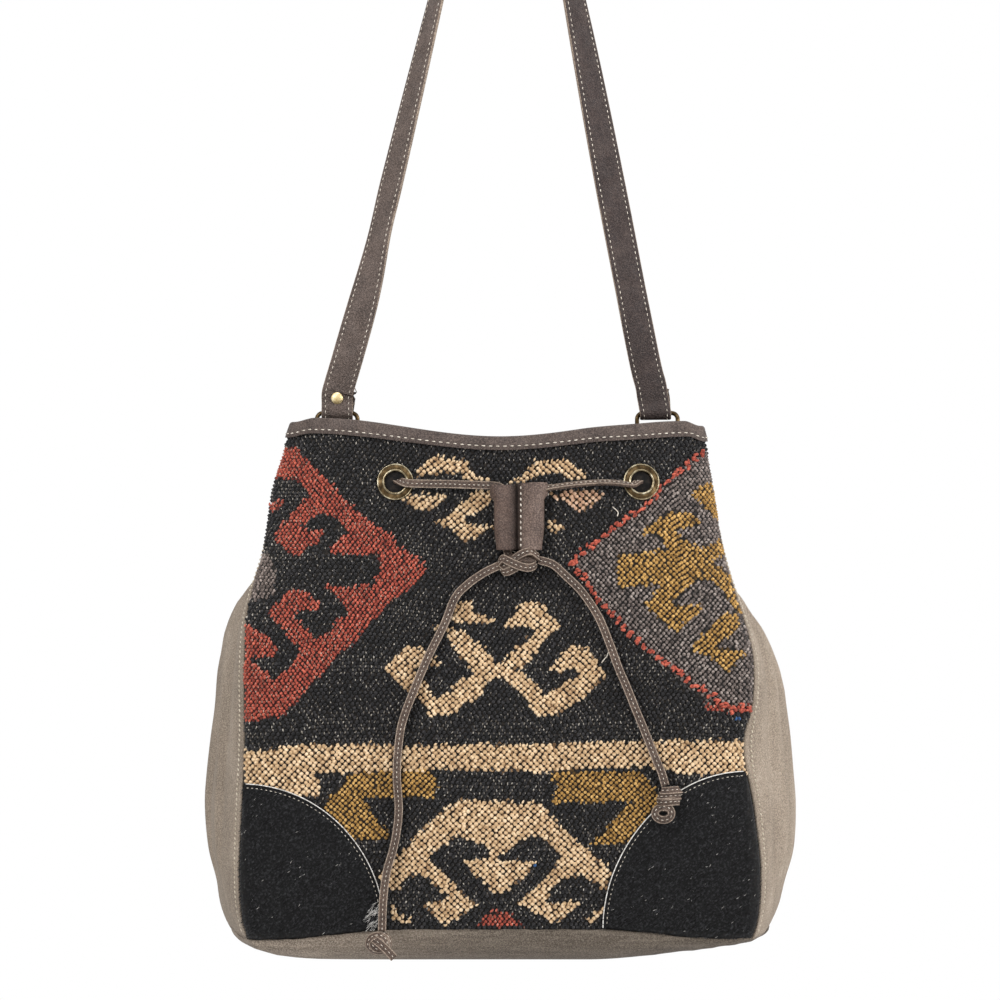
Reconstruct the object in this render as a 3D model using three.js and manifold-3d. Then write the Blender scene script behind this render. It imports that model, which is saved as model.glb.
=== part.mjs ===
// A drawstring bucket bag that hangs from its own shoulder strap.
// The front is a flatweave rug panel with hide patches, the sides, back and base are canvas, and the
// mouth binding, ring tabs, drawcord, slider and strap are leather. All sizes are in millimetres.
// The bag's own frame has X across, Y from front to back and Z up from a datum just under its base.
import * as THREE from 'three';
import { mergeVertices } from 'three/addons/utils/BufferGeometryUtils.js';
import Module from 'manifold-3d';

const wasm = await Module();
wasm.setup();

// Overall sizes
const BAG_HALF_WIDTH = 189;
const BAG_HALF_DEPTH = 76;
const RIM_CORNER_HEIGHT = 351;
const RIM_SAG = 12;
const RIM_DIP_AT_TABS = 29;
const BASE_UNDERSIDE = 6;
const HANG_HEIGHT = 817;
const APEX_OFFSET = 9;

// Material thicknesses and the clearance between neighbouring pieces
const CLEARANCE = 0.3;
const SEAM_DRAW_BACK = 0.22;
const RUG_THICKNESS = 3.5;
const CANVAS_THICKNESS = 1.4;
const LINING_THICKNESS = 0.8;
const LINING_SLACK = 3;
const SLACK_ENDS_FROM = 0.7;
const SLACK_ENDS_TO = 0.86;
const LEATHER_THICKNESS = 1.5;
const PATCH_THICKNESS = 1.3;
const PATCH_STANDOFF = 0.6;

// Weave relief on the rug panel
const WEAVE_RELIEF = 0.9;
const WEAVE_MARGIN = 26;
const WALL_ROWS = 9;
const RIDGES_PER_ROW = 3;

// Half width of the mouth, as a share of the bag's half width
const MOUTH_SHARE = 0.688;
const MOUTH_HALF_WIDTH = MOUTH_SHARE * BAG_HALF_WIDTH;

// Gathered side: the gusset folds inwards into a flat fin that the ring tab is sewn over
const FIN_REACH = 14;
const FIN_LENGTH = 40.032;
const FIN_TIP_X = MOUTH_HALF_WIDTH - FIN_LENGTH;
const FIN_HALF_GAP = 2.4;
const FIN_SPREAD = 0.1;
const BINDING_DEPTH = 10;
const BINDING_PLAY = 0.55;

// Corner patches, reach across and up from the lower corners
const PATCH_LEFT_REACH = 91;
const PATCH_LEFT_RISE = 99;
const PATCH_RIGHT_REACH = 99;
const PATCH_RIGHT_RISE = 107;
const PATCH_EDGE_MARGIN = 1.4;

// Eyelets
const EYELET_BELOW_CORNERS = 41;
const EYELET_HEIGHT = RIM_CORNER_HEIGHT - EYELET_BELOW_CORNERS;
const EYELET_LEFT_X = -66.4;
const EYELET_RIGHT_X = 89.7;
const EYELET_FLANGE_RADIUS = 11.75;
const EYELET_HOLE_RADIUS = 6.75;
const EYELET_WALL = 0.8;
const EYELET_FLANGE_RISE = 1.6;
const EYELET_STANDOFF = 0.5;
const WASHER_THICKNESS = 0.7;
const WASHER_STANDOFF = 1;

// D-rings, tabs and strap
const RING_LEFT_INSET = 25.032;
const RING_RIGHT_INSET = 28.532;
const RING_LEFT_X = -(MOUTH_HALF_WIDTH - RING_LEFT_INSET);
const RING_RIGHT_X = MOUTH_HALF_WIDTH - RING_RIGHT_INSET;
const RING_WIDTH = 29;
const RING_HEIGHT = 22;
const RING_WIRE = 2.8;
const RING_PLAY = 0.4;
const RING_TOP_RADIUS = 6;
const RING_FOOT_RADIUS = 3;
const RING_BAR_ABOVE_RIM = 13.5;
const TAB_WIDTH = 18;
const TAB_DROP = 27;
const TAB_LEATHER = 1.6;
const STRAP_WIDTH = 19.5;
const STRAP_THICKNESS = 2.4;
const STRAP_OVERLAP = 15;
const STRAP_TURN_RADIUS = 8;
const RIVET_RADIUS = 3.9;
const RIVET_SHANK_RADIUS = 1.4;
const RIVET_ABOVE_BAR = 9.5;

// Drawcord, its slider and its knots
const CORD_DIAMETER = 4.4;
const SLIDER_HEIGHT = 42;
const SLIDER_WIDTH = 33;
const SLIDER_X = 12.6;
const SLIDER_BELOW_EYELETS = 1;
const SLIDER_TOP = EYELET_HEIGHT - SLIDER_BELOW_EYELETS;
const SLIDER_FRONT = 4.8;
const SLIDER_BACK = 3.4;
const SLIDER_WALL = 1.2;
const SLIDER_LEFT_BORE_X = -9;
const SLIDER_RIGHT_BORE_X = 8.5;

const COLOURS = {
  rug: 0x2b2c2e,
  canvas: 0x8c806f,
  hide: 0x1c1b1c,
  leather: 0x665a54,
  strap: 0x5b504a,
  lining: 0x6f6658,
  antiqueBrass: 0x6d5b3c,
  brightBrass: 0xc9ad74,
};

// Smooth curve through hand-chosen [position, value] pairs
function profile(keys) {
  const last = keys.length - 1;
  const slope = (index) => {
    const before = keys[Math.max(index - 1, 0)];
    const after = keys[Math.min(index + 1, last)];
    return (after[1] - before[1]) / (after[0] - before[0]);
  };
  return (position) => {
    if (position <= keys[0][0]) return keys[0][1];
    if (position >= keys[last][0]) return keys[last][1];
    let index = 0;
    while (position > keys[index + 1][0]) index += 1;
    const span = keys[index + 1][0] - keys[index][0];
    const u = (position - keys[index][0]) / span;
    const startWeight = (2 * u - 3) * u * u + 1;
    const startTangent = ((u - 2) * u + 1) * u;
    const endTangent = (u - 1) * u * u;
    return startWeight * keys[index][1] + (1 - startWeight) * keys[index + 1][1]
      + span * (startTangent * slope(index) + endTangent * slope(index + 1));
  };
}

function ease(from, to, value) {
  const u = Math.min(1, Math.max(0, (value - from) / (to - from)));
  return u * u * (3 - 2 * u);
}

function mix(a, b, share) {
  return a + (b - a) * share;
}

// Heights below are shares of the rim corner's height, widths and depths are shares of the half sizes
const seamHalfWidth = profile([
  [0.03, 0.825], [0.085, 0.865], [0.17, 0.876], [0.285, 0.868], [0.413, 0.857], [0.527, 0.86],
  [0.644, 0.852], [0.712, 0.823], [0.746, 0.802], [0.812, 0.78], [0.869, 0.762], [0.94, 0.724], [1, MOUTH_SHARE],
]);
const bellyHalfWidth = profile([
  [0.03, 0.836], [0.046, 0.868], [0.06, 0.905], [0.105, 0.947], [0.162, 0.968], [0.214, 0.989],
  [0.296, 1], [0.356, 0.995], [0.419, 0.984], [0.476, 0.968], [0.536, 0.955], [0.57, 0.942],
  [0.613, 0.928], [0.647, 0.9], [0.681, 0.864], [0.712, 0.83], [0.746, 0.802], [1, MOUTH_SHARE],
]);
const seamDepth = profile([
  [0.03, 0.71], [0.17, 0.816], [0.427, 0.816], [0.598, 0.75], [0.684, 0.645], [0.746, 0.54],
  [0.826, 0.395], [0.912, 0.303], [1, 0.263],
]);
const centreDepth = profile([
  [0.03, 0.816], [0.085, 0.868], [0.17, 0.947], [0.3, 1], [0.456, 0.974], [0.627, 0.908],
  [0.798, 0.816], [1, 0.724],
]);
// How far the right side is drawn inwards, by height: its seams, and its belly between them
const RIGHT_SEAM_PULL = 8;
const rightSeamPull = profile([
  [0.2, 0], [0.3, 0.375], [0.41, 1], [0.48, 0.3125], [0.56, 0.1875], [0.606, 0.5], [0.644, 0.85], [0.7, 1.1],
  [0.746, 1.05], [0.812, 1.1], [0.869, 1.1], [0.94, 0.75], [1, 0.5],
]);
const RIGHT_BELLY_PULL = 12;
const rightBellyPull = profile([
  [0.5, 0], [0.57, 0.25], [0.613, 0.66], [0.647, 1], [0.69, 1], [0.746, 0.7], [0.812, 0.73], [0.869, 0.73],
  [0.94, 0.5], [1, 0.333],
]);
// The back seam is drawn in only above this part of the height
const BACK_PULL_FROM = 0.5;
const BACK_PULL_TO = 0.6;

const GATHER_FROM = 0.66;
const GATHER_TO = 0.86;
const CORNER_FROM = 0.627;
const CORNER_TO = 0.912;
const CORNER_FLARE = 12;
const CORNER_TURN = 12;
const CORNER_TURN_GAIN = 8;
const CENTRE_FLATNESS = 0.62;
const BULGE_POWER = 2.2;

function seamX(height, side) {
  const share = height / RIM_CORNER_HEIGHT;
  const pull = side > 0 ? RIGHT_SEAM_PULL * rightSeamPull(share) : 0;
  return seamHalfWidth(share) * BAG_HALF_WIDTH - pull;
}

function backSeamX(height, side) {
  const share = height / RIM_CORNER_HEIGHT;
  const plain = seamHalfWidth(share) * BAG_HALF_WIDTH;
  return mix(plain, seamX(height, side), ease(BACK_PULL_FROM, BACK_PULL_TO, share));
}

// Point on the front (face -1) or back (face 1) panel; t runs from -1 at the left seam to 1 at the right
function panelPoint(t, height, face) {
  const share = height / RIM_CORNER_HEIGHT;
  const side = Math.sign(t) || 1;
  const u = Math.abs(t);
  const endX = face < 0 ? seamX(height, side) : backSeamX(height, side);
  const endY = seamDepth(share) * BAG_HALF_DEPTH;
  const middleY = centreDepth(share) * BAG_HALF_DEPTH;
  const corner = ease(CORNER_FROM, CORNER_TO, share);
  const turnX = endX + CORNER_FLARE * corner;
  const turnY = endY + CORNER_TURN + CORNER_TURN_GAIN * corner;
  const v = 1 - u;
  const x = 3 * v * v * u * CENTRE_FLATNESS * endX + 3 * v * u * u * turnX + u * u * u * endX;
  const y = (v * v * v + 3 * v * v * u) * middleY + 3 * v * u * u * turnY + u * u * u * endY;
  return new THREE.Vector2(side * x, face * y);
}

// Point on the fin that the gusset is folded into at the mouth; s runs from -1 at the front to 1 at the back
const FIN_BEND_AT = 0.58;
const FIN_ROUND_AT = 0.14;

function finPoint(s, endX, endY) {
  const u = Math.abs(s);
  const sign = Math.sign(s) || 1;
  const bendX = endX - FIN_REACH;
  const bendY = FIN_HALF_GAP + FIN_SPREAD;
  const roundX = FIN_TIP_X + FIN_HALF_GAP;
  if (u >= FIN_BEND_AT) {
    const angle = ((u - FIN_BEND_AT) / (1 - FIN_BEND_AT)) * Math.PI / 2;
    return new THREE.Vector2(bendX + FIN_REACH * Math.sin(angle), sign * (endY - (endY - bendY) * Math.cos(angle)));
  }
  if (u >= FIN_ROUND_AT) {
    const share = (u - FIN_ROUND_AT) / (FIN_BEND_AT - FIN_ROUND_AT);
    return new THREE.Vector2(mix(roundX, bendX, share), sign * mix(FIN_HALF_GAP, bendY, share));
  }
  const angle = (u / FIN_ROUND_AT) * Math.PI / 2;
  return new THREE.Vector2(roundX - FIN_HALF_GAP * Math.cos(angle), sign * FIN_HALF_GAP * Math.sin(angle));
}

function gussetPoint(s, height, side) {
  const share = height / RIM_CORNER_HEIGHT;
  const endY = seamDepth(share) * BAG_HALF_DEPTH;
  const frontX = seamX(height, side);
  const backX = backSeamX(height, side);
  const endX = s < 0 ? mix(backX, frontX, s * s) : backX;
  const bellyPull = side > 0 ? RIGHT_BELLY_PULL * rightBellyPull(share) : 0;
  const reach = bellyHalfWidth(share) * BAG_HALF_WIDTH - bellyPull - endX;
  const bulged = new THREE.Vector2(endX + reach * (1 - Math.abs(s) ** BULGE_POWER), endY * s);
  const point = bulged.lerp(finPoint(s, endX, endY), ease(GATHER_FROM, GATHER_TO, share));
  return new THREE.Vector2(side * point.x, point.y);
}

// Rim height over the front and back panels, by distance from the centre line
function panelRim(x) {
  return RIM_CORNER_HEIGHT - RIM_SAG + RIM_SAG * ease(0, 0.62 * BAG_HALF_WIDTH, Math.abs(x));
}

function gussetRim(s) {
  return RIM_CORNER_HEIGHT - RIM_DIP_AT_TABS * (1 - ease(0.62, 1, Math.abs(s)));
}

// Height of the seam between the walls and the base
const FRONT_SEAM_HEIGHT = 27;
const CORNER_SEAM_HEIGHT = 20;
const SIDE_SEAM_HEIGHT = 25;
const SEAM_DROP_FROM = 60;
const SEAM_DROP_TO = 150;

function panelFoot(x) {
  const drop = FRONT_SEAM_HEIGHT - CORNER_SEAM_HEIGHT;
  return FRONT_SEAM_HEIGHT - drop * ease(SEAM_DROP_FROM, SEAM_DROP_TO, Math.abs(x));
}

function gussetFoot(s) {
  return mix(SIDE_SEAM_HEIGHT, CORNER_SEAM_HEIGHT, ease(0, 1, Math.abs(s)));
}

// The walls as one closed loop of stations, front panel first, anticlockwise seen from above
const FRONT_HALF_STEPS = 9;
const BACK_HALF_STEPS = 6;
const GUSSET_STATIONS = [-0.86, -0.7, -0.56, -0.34, -0.14, 0, 0.14, 0.34, 0.56, 0.7, 0.86];

function panelStation(t, face) {
  const rim = panelRim(panelPoint(t, RIM_CORNER_HEIGHT, face).x);
  const foot = panelFoot(panelPoint(t, CORNER_SEAM_HEIGHT, face).x);
  return { rim, foot, at: (height) => panelPoint(t, height, face) };
}

function gussetStation(s, side) {
  return { rim: gussetRim(s), foot: gussetFoot(s), at: (height) => gussetPoint(s, height, side) };
}

const stations = [];
const spans = {};

function addSpan(name, items, shareEnds) {
  const first = stations.length - (shareEnds ? 1 : 0);
  stations.push(...items);
  spans[name] = { first, last: stations.length - 1 + (shareEnds ? 1 : 0) };
}

const frontStations = [];
for (let step = -FRONT_HALF_STEPS; step <= FRONT_HALF_STEPS; step += 1) {
  frontStations.push(panelStation(step / FRONT_HALF_STEPS, -1));
}
const backStations = [];
for (let step = BACK_HALF_STEPS; step >= -BACK_HALF_STEPS; step -= 1) {
  backStations.push(panelStation(step / BACK_HALF_STEPS, 1));
}
addSpan('front', frontStations, false);
addSpan('right', GUSSET_STATIONS.map((s) => gussetStation(s, 1)), true);
addSpan('back', backStations, false);
addSpan('left', GUSSET_STATIONS.map((s) => gussetStation(-s, -1)), true);
const COUNT = stations.length;

// Depth of material from the outer face to the lining's inner face at each station
function wallDepth(index) {
  const rug = RUG_THICKNESS + CLEARANCE + LINING_THICKNESS;
  const canvas = CANVAS_THICKNESS + CLEARANCE + LINING_THICKNESS;
  if (index >= spans.front.first && index <= spans.front.last) return rug;
  const away = Math.min(index - spans.front.last, COUNT - index);
  return mix(rug, canvas, ease(0, 3, away));
}

// Each level of the walls: points on the outer face and inward directions, mitred at the corners
const MITRE_LIMIT = 1.5;
const TOP_INSET = LEATHER_THICKNESS + BINDING_PLAY;
const levelCache = new Map();

function wallLevel(v) {
  if (levelCache.has(v)) return levelCache.get(v);
  const heights = stations.map((station) => mix(station.foot + CLEARANCE / 2, station.rim - TOP_INSET, v));
  const points = stations.map((station, index) => station.at(heights[index]));
  const inward = points.map((point, index) => {
    const before = points[(index + COUNT - 1) % COUNT];
    const after = points[(index + 1) % COUNT];
    const arriving = point.clone().sub(before).normalize();
    const leaving = after.clone().sub(point).normalize();
    const tangent = arriving.clone().add(leaving).normalize();
    const scale = Math.min(MITRE_LIMIT, 1 / Math.max(0.1, tangent.dot(arriving)));
    return new THREE.Vector2(-tangent.y, tangent.x).multiplyScalar(scale);
  });
  const level = { heights, points, inward };
  levelCache.set(v, level);
  return level;
}

function wallPoint(index, v, depth) {
  const level = wallLevel(v);
  const k = ((index % COUNT) + COUNT) % COUNT;
  const x = level.points[k].x + level.inward[k].x * depth;
  const y = level.points[k].y + level.inward[k].y * depth;
  return new THREE.Vector3(x, y, level.heights[k]);
}

// Point on the straight stretch between two wall rows, which is where the walls' facets lie
function wallChord(index, v, depth) {
  const row = Math.min(WALL_ROWS - 1, Math.floor(v * WALL_ROWS));
  const share = v * WALL_ROWS - row;
  return wallPoint(index, row / WALL_ROWS, depth).lerp(wallPoint(index, (row + 1) / WALL_ROWS, depth), share);
}

// Closed solids from point grids
class SolidBuilder {
  constructor() {
    this.points = [];
    this.triangles = [];
  }

  add(point) {
    this.points.push(point);
    return this.points.length - 1;
  }

  addGrid(rows) {
    return rows.map((row) => row.map((point) => this.add(point)));
  }

  quad(a, b, c, d) {
    this.triangles.push([a, b, c], [a, c, d]);
  }

  surface(grid, reversed) {
    for (let row = 0; row + 1 < grid.length; row += 1) {
      for (let column = 0; column + 1 < grid[row].length; column += 1) {
        const [near, across] = [grid[row][column], grid[row][column + 1]];
        const [up, far] = [grid[row + 1][column], grid[row + 1][column + 1]];
        if (reversed) this.quad(near, up, far, across);
        else this.quad(near, across, far, up);
      }
    }
  }

  // Joins two edges that may have different numbers of points
  zip(edgeA, edgeB, reversed) {
    let a = 0;
    let b = 0;
    while (a + 1 < edgeA.length || b + 1 < edgeB.length) {
      const nextA = (a + 1) / (edgeA.length - 1);
      const nextB = (b + 1) / (edgeB.length - 1);
      const stepA = a + 1 < edgeA.length && (nextA <= nextB + 1e-9 || b + 1 >= edgeB.length);
      const triangle = stepA ? [edgeA[a], edgeB[b], edgeA[a + 1]] : [edgeA[a], edgeB[b], edgeB[b + 1]];
      if (reversed) triangle.reverse();
      this.triangles.push(triangle);
      if (stepA) a += 1;
      else b += 1;
    }
  }

  build() {
    const volume = this.triangles.reduce((sum, [a, b, c]) => {
      const p = this.points;
      return sum + p[a].dot(new THREE.Vector3().crossVectors(p[b], p[c]));
    }, 0);
    const index = this.triangles.flatMap(([a, b, c]) => (volume > 0 ? [a, b, c] : [a, c, b]));
    const geometry = new THREE.BufferGeometry();
    const positions = this.points.flatMap((point) => point.toArray());
    geometry.setAttribute('position', new THREE.Float32BufferAttribute(positions, 3));
    geometry.setIndex(index);
    return geometry;
  }
}

// A sheet with an outer and an inner face over the same columns
function sheetSolid(outerRows, innerRows) {
  const builder = new SolidBuilder();
  const outer = builder.addGrid(outerRows);
  const inner = builder.addGrid(innerRows);
  const lastOuter = outer.length - 1;
  const lastInner = inner.length - 1;
  builder.surface(outer, false);
  builder.surface(inner, true);
  builder.zip(outer[0], inner[0], false);
  builder.zip(outer[lastOuter], inner[lastInner], true);
  builder.zip(outer.map((row) => row[0]), inner.map((row) => row[0]), true);
  builder.zip(outer.map((row) => row[row.length - 1]), inner.map((row) => row[row.length - 1]), false);
  return builder.build();
}

// A closed section carried round a closed loop, or along an open path with flat ends
function sweepSolid(sections, isLoop) {
  const builder = new SolidBuilder();
  const grid = builder.addGrid(sections.map((section) => [...section, section[0]]));
  const rows = grid.map((row) => [...row.slice(0, -1), row[0]]);
  builder.surface(isLoop ? [...rows, rows[0]] : rows, false);
  if (!isLoop) {
    const last = rows.length - 1;
    for (let k = 1; k + 1 < sections[0].length; k += 1) {
      builder.triangles.push([rows[0][0], rows[0][k + 1], rows[0][k]]);
      builder.triangles.push([rows[last][0], rows[last][k], rows[last][k + 1]]);
    }
  }
  return builder.build();
}

function toSolid(geometry) {
  const bare = geometry.clone();
  bare.deleteAttribute('normal');
  bare.deleteAttribute('uv');
  const merged = mergeVertices(bare, 1e-4);
  const vertProperties = new Float32Array(merged.attributes.position.array);
  const triVerts = new Uint32Array(merged.index.array);
  return new wasm.Manifold(new wasm.Mesh({ numProp: 3, vertProperties, triVerts }));
}

function fromSolid(solid) {
  const mesh = solid.getMesh();
  const geometry = new THREE.BufferGeometry();
  geometry.setAttribute('position', new THREE.BufferAttribute(new Float32Array(mesh.vertProperties), 3));
  geometry.setIndex(new THREE.BufferAttribute(new Uint32Array(mesh.triVerts), 1));
  return geometry;
}

function cut(geometry, cutters) {
  return fromSolid(cutters.reduce((solid, cutter) => solid.subtract(toSolid(cutter)), toSolid(geometry)));
}

function mainPiece(geometry) {
  const pieces = toSolid(geometry).decompose();
  return fromSolid(pieces.reduce((best, piece) => (piece.volume() > best.volume() ? piece : best)));
}

function overlapOf(geometry, other) {
  return fromSolid(toSolid(geometry).intersect(toSolid(other)));
}

function joined(geometry, other) {
  return fromSolid(toSolid(geometry).add(toSolid(other)));
}

const bag = new THREE.Group();
bag.position.set(-APEX_OFFSET, 0, -HANG_HEIGHT);

function addPart(parent, name, geometry, colour, finish) {
  const material = new THREE.MeshStandardMaterial({ color: colour, roughness: finish.roughness, metalness: finish.metalness });
  const mesh = new THREE.Mesh(geometry, material);
  mesh.name = name;
  parent.add(mesh);
  return mesh;
}

const CLOTH = { roughness: 0.95, metalness: 0 };
const LEATHER = { roughness: 0.6, metalness: 0 };
const METAL = { roughness: 0.35, metalness: 1 };

// Where an upright line at x meets the front (face -1) or back (face 1) panel, with its outward direction
function faceAt(x, height, face) {
  let low = 0;
  let high = 1;
  const side = Math.sign(x) || 1;
  for (let pass = 0; pass < 30; pass += 1) {
    const middle = (low + high) / 2;
    if (Math.abs(panelPoint(side * middle, height, face).x) < Math.abs(x)) low = middle;
    else high = middle;
  }
  const t = side * low;
  const step = 0.02;
  const here = panelPoint(t, height, face);
  const across = panelPoint(t + step, height, face).sub(panelPoint(t - step, height, face));
  const rise = panelPoint(t, height + 1, face).y - panelPoint(t, height - 1, face).y;
  const outward = new THREE.Vector3(-face * across.y, face * across.x, 0).normalize();
  outward.z = -outward.y * rise / 2;
  outward.normalize();
  return { point: new THREE.Vector3(here.x, here.y, height), outward };
}

// Turns a lathed piece, whose axis is Y, so that its +Y points along a direction, and moves it to a point
function seat(geometry, point, direction) {
  const turn = new THREE.Quaternion().setFromUnitVectors(new THREE.Vector3(0, 1, 0), direction);
  return geometry.applyQuaternion(turn).translate(point.x, point.y, point.z);
}

// Eyelet places, one pair in the front panel and one in the back
const EYELET_SEGMENTS = 16;
const BARREL_RADIUS = EYELET_HOLE_RADIUS + EYELET_WALL;
const eyelets = [
  { name: 'front_left', x: EYELET_LEFT_X, face: -1, wall: RUG_THICKNESS },
  { name: 'front_right', x: EYELET_RIGHT_X, face: -1, wall: RUG_THICKNESS },
  { name: 'back_left', x: EYELET_LEFT_X, face: 1, wall: CANVAS_THICKNESS },
  { name: 'back_right', x: EYELET_RIGHT_X, face: 1, wall: CANVAS_THICKNESS },
].map((eyelet) => ({ ...eyelet, ...faceAt(eyelet.x, EYELET_HEIGHT, eyelet.face) }));

function eyeletCutter(eyelet) {
  const length = 40;
  const cutter = new THREE.CylinderGeometry(BARREL_RADIUS + CLEARANCE, BARREL_RADIUS + CLEARANCE, length, EYELET_SEGMENTS);
  return seat(cutter, eyelet.point, eyelet.outward);
}

// The weave's ridges fade out at the edges, under the binding and patches, and round the eyelets
const patches = [
  { name: 'left', side: -1, reach: PATCH_LEFT_REACH, rise: PATCH_LEFT_RISE },
  { name: 'right', side: 1, reach: PATCH_RIGHT_REACH, rise: PATCH_RIGHT_RISE },
];

function weaveShare(x, height) {
  const patch = patches[x < 0 ? 0 : 1];
  const across = (seamX(height, patch.side) - Math.abs(x)) / (patch.reach + WEAVE_MARGIN);
  const up = (height - CORNER_SEAM_HEIGHT) / (patch.rise + WEAVE_MARGIN / 2);
  if (across * across + up * up < 1) return 0;
  const nearEyelet = eyelets.some((eyelet) => (
    eyelet.face < 0 && Math.hypot(x - eyelet.x, height - EYELET_HEIGHT) < EYELET_FLANGE_RADIUS + 3));
  if (nearEyelet || height > panelRim(x) - BINDING_DEPTH - 4) return 0;
  return 1;
}

function columnsOf(span) {
  const columns = [];
  for (let index = span.first; index <= span.last; index += 1) columns.push(index);
  return columns;
}

// Points of a wall at one level, drawn back a little from both side seams
function wallRow(span, v, depth) {
  const columns = columnsOf(span);
  const row = columns.map((index) => wallPoint(index, v, depth));
  const last = row.length - 1;
  const drawBack = (end, next) => {
    const direction = wallPoint(columns[next], v, 0).sub(wallPoint(columns[end], v, 0)).setZ(0).normalize();
    row[end].addScaledVector(direction, SEAM_DRAW_BACK);
  };
  drawBack(0, 1);
  drawBack(last, last - 1);
  return row;
}

function levelShares() {
  return Array.from({ length: WALL_ROWS + 1 }, (_, row) => row / WALL_ROWS);
}

function rugPanel() {
  const coarse = levelShares().map((v) => wallRow(spans.front, v, 0));
  const proud = levelShares().map((v) => wallRow(spans.front, v, -WEAVE_RELIEF));
  const steps = RIDGES_PER_ROW * 2;
  const outer = [coarse[0]];
  for (let row = 0; row < WALL_ROWS; row += 1) {
    for (let step = 1; step <= steps; step += 1) {
      const share = step / steps;
      outer.push(coarse[row].map((point, column) => {
        const flat = point.clone().lerp(coarse[row + 1][column], share);
        const atEdge = column === 0 || column === coarse[row].length - 1;
        if (step % 2 === 0 || atEdge || weaveShare(flat.x, flat.z) === 0) return flat;
        return proud[row][column].clone().lerp(proud[row + 1][column], share);
      }));
    }
  }
  const inner = levelShares().map((v) => wallRow(spans.front, v, RUG_THICKNESS));
  const panel = sheetSolid(outer, inner);
  return cut(panel, eyelets.filter((eyelet) => eyelet.face < 0).map(eyeletCutter));
}

function clothPanel(span, thickness, cutters) {
  const outer = levelShares().map((v) => wallRow(span, v, 0));
  const inner = levelShares().map((v) => wallRow(span, v, thickness));
  const panel = sheetSolid(outer, inner);
  return cutters.length ? cut(panel, cutters) : panel;
}

addPart(bag, 'front_panel', rugPanel(), COLOURS.rug, CLOTH);
const backCutters = eyelets.filter((eyelet) => eyelet.face > 0).map(eyeletCutter);
addPart(bag, 'back_panel', clothPanel(spans.back, CANVAS_THICKNESS, backCutters), COLOURS.canvas, CLOTH);
addPart(bag, 'gusset_left', clothPanel(spans.left, CANVAS_THICKNESS, []), COLOURS.canvas, CLOTH);
addPart(bag, 'gusset_right', clothPanel(spans.right, CANVAS_THICKNESS, []), COLOURS.canvas, CLOTH);

// Base: a shallow dish that rises from a flat middle to the seam with the walls
const BASE_FLAT_SHARE = 0.66;
const BASE_RISE_STEPS = [0.45, 0.8, 0.95, 1];

function footPoint(index, drop) {
  const point = wallPoint(index, 0, 0);
  return point.setZ(point.z - drop);
}

function basePanel() {
  const builder = new SolidBuilder();
  const ring = stations.map((_, index) => footPoint(index, CLEARANCE));
  const dish = (thickness) => {
    const rows = BASE_RISE_STEPS.map((u) => ring.map((point, index) => {
      const level = wallLevel(0);
      const outer = new THREE.Vector3(
        point.x + level.inward[index].x * thickness,
        point.y + level.inward[index].y * thickness,
        0);
      const share = mix(BASE_FLAT_SHARE, 1, u);
      const floor = BASE_UNDERSIDE + thickness;
      const height = floor + (point.z - floor) * (1 - Math.sqrt(1 - u * u));
      return new THREE.Vector3(outer.x * share, outer.y * share, height);
    }));
    const flat = ring.map((point) => new THREE.Vector3(
      point.x * BASE_FLAT_SHARE, point.y * BASE_FLAT_SHARE, BASE_UNDERSIDE + thickness));
    return builder.addGrid([flat, ...rows].map((row) => row)).map((row) => [...row, row[0]]);
  };
  const outer = dish(0);
  const inner = dish(CANVAS_THICKNESS);
  const lowCentre = builder.add(new THREE.Vector3(0, 0, BASE_UNDERSIDE));
  const highCentre = builder.add(new THREE.Vector3(0, 0, BASE_UNDERSIDE + CANVAS_THICKNESS));
  builder.surface(outer, false);
  builder.surface(inner, true);
  builder.zip(outer[outer.length - 1], inner[inner.length - 1], true);
  for (let index = 0; index < COUNT; index += 1) {
    builder.triangles.push([lowCentre, outer[0][index + 1], outer[0][index]]);
    builder.triangles.push([highCentre, inner[0][index], inner[0][index + 1]]);
  }
  return builder.build();
}

addPart(bag, 'base_panel', basePanel(), COLOURS.canvas, CLOTH);

// Lining: a loose sack, held close to the walls under the binding and slack below it
const LINING_LEVELS = levelShares().filter((_, row) => row !== 1);
const LINING_FOOT_RISE = 7;
const LINING_FLOOR = 4.5;

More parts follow.
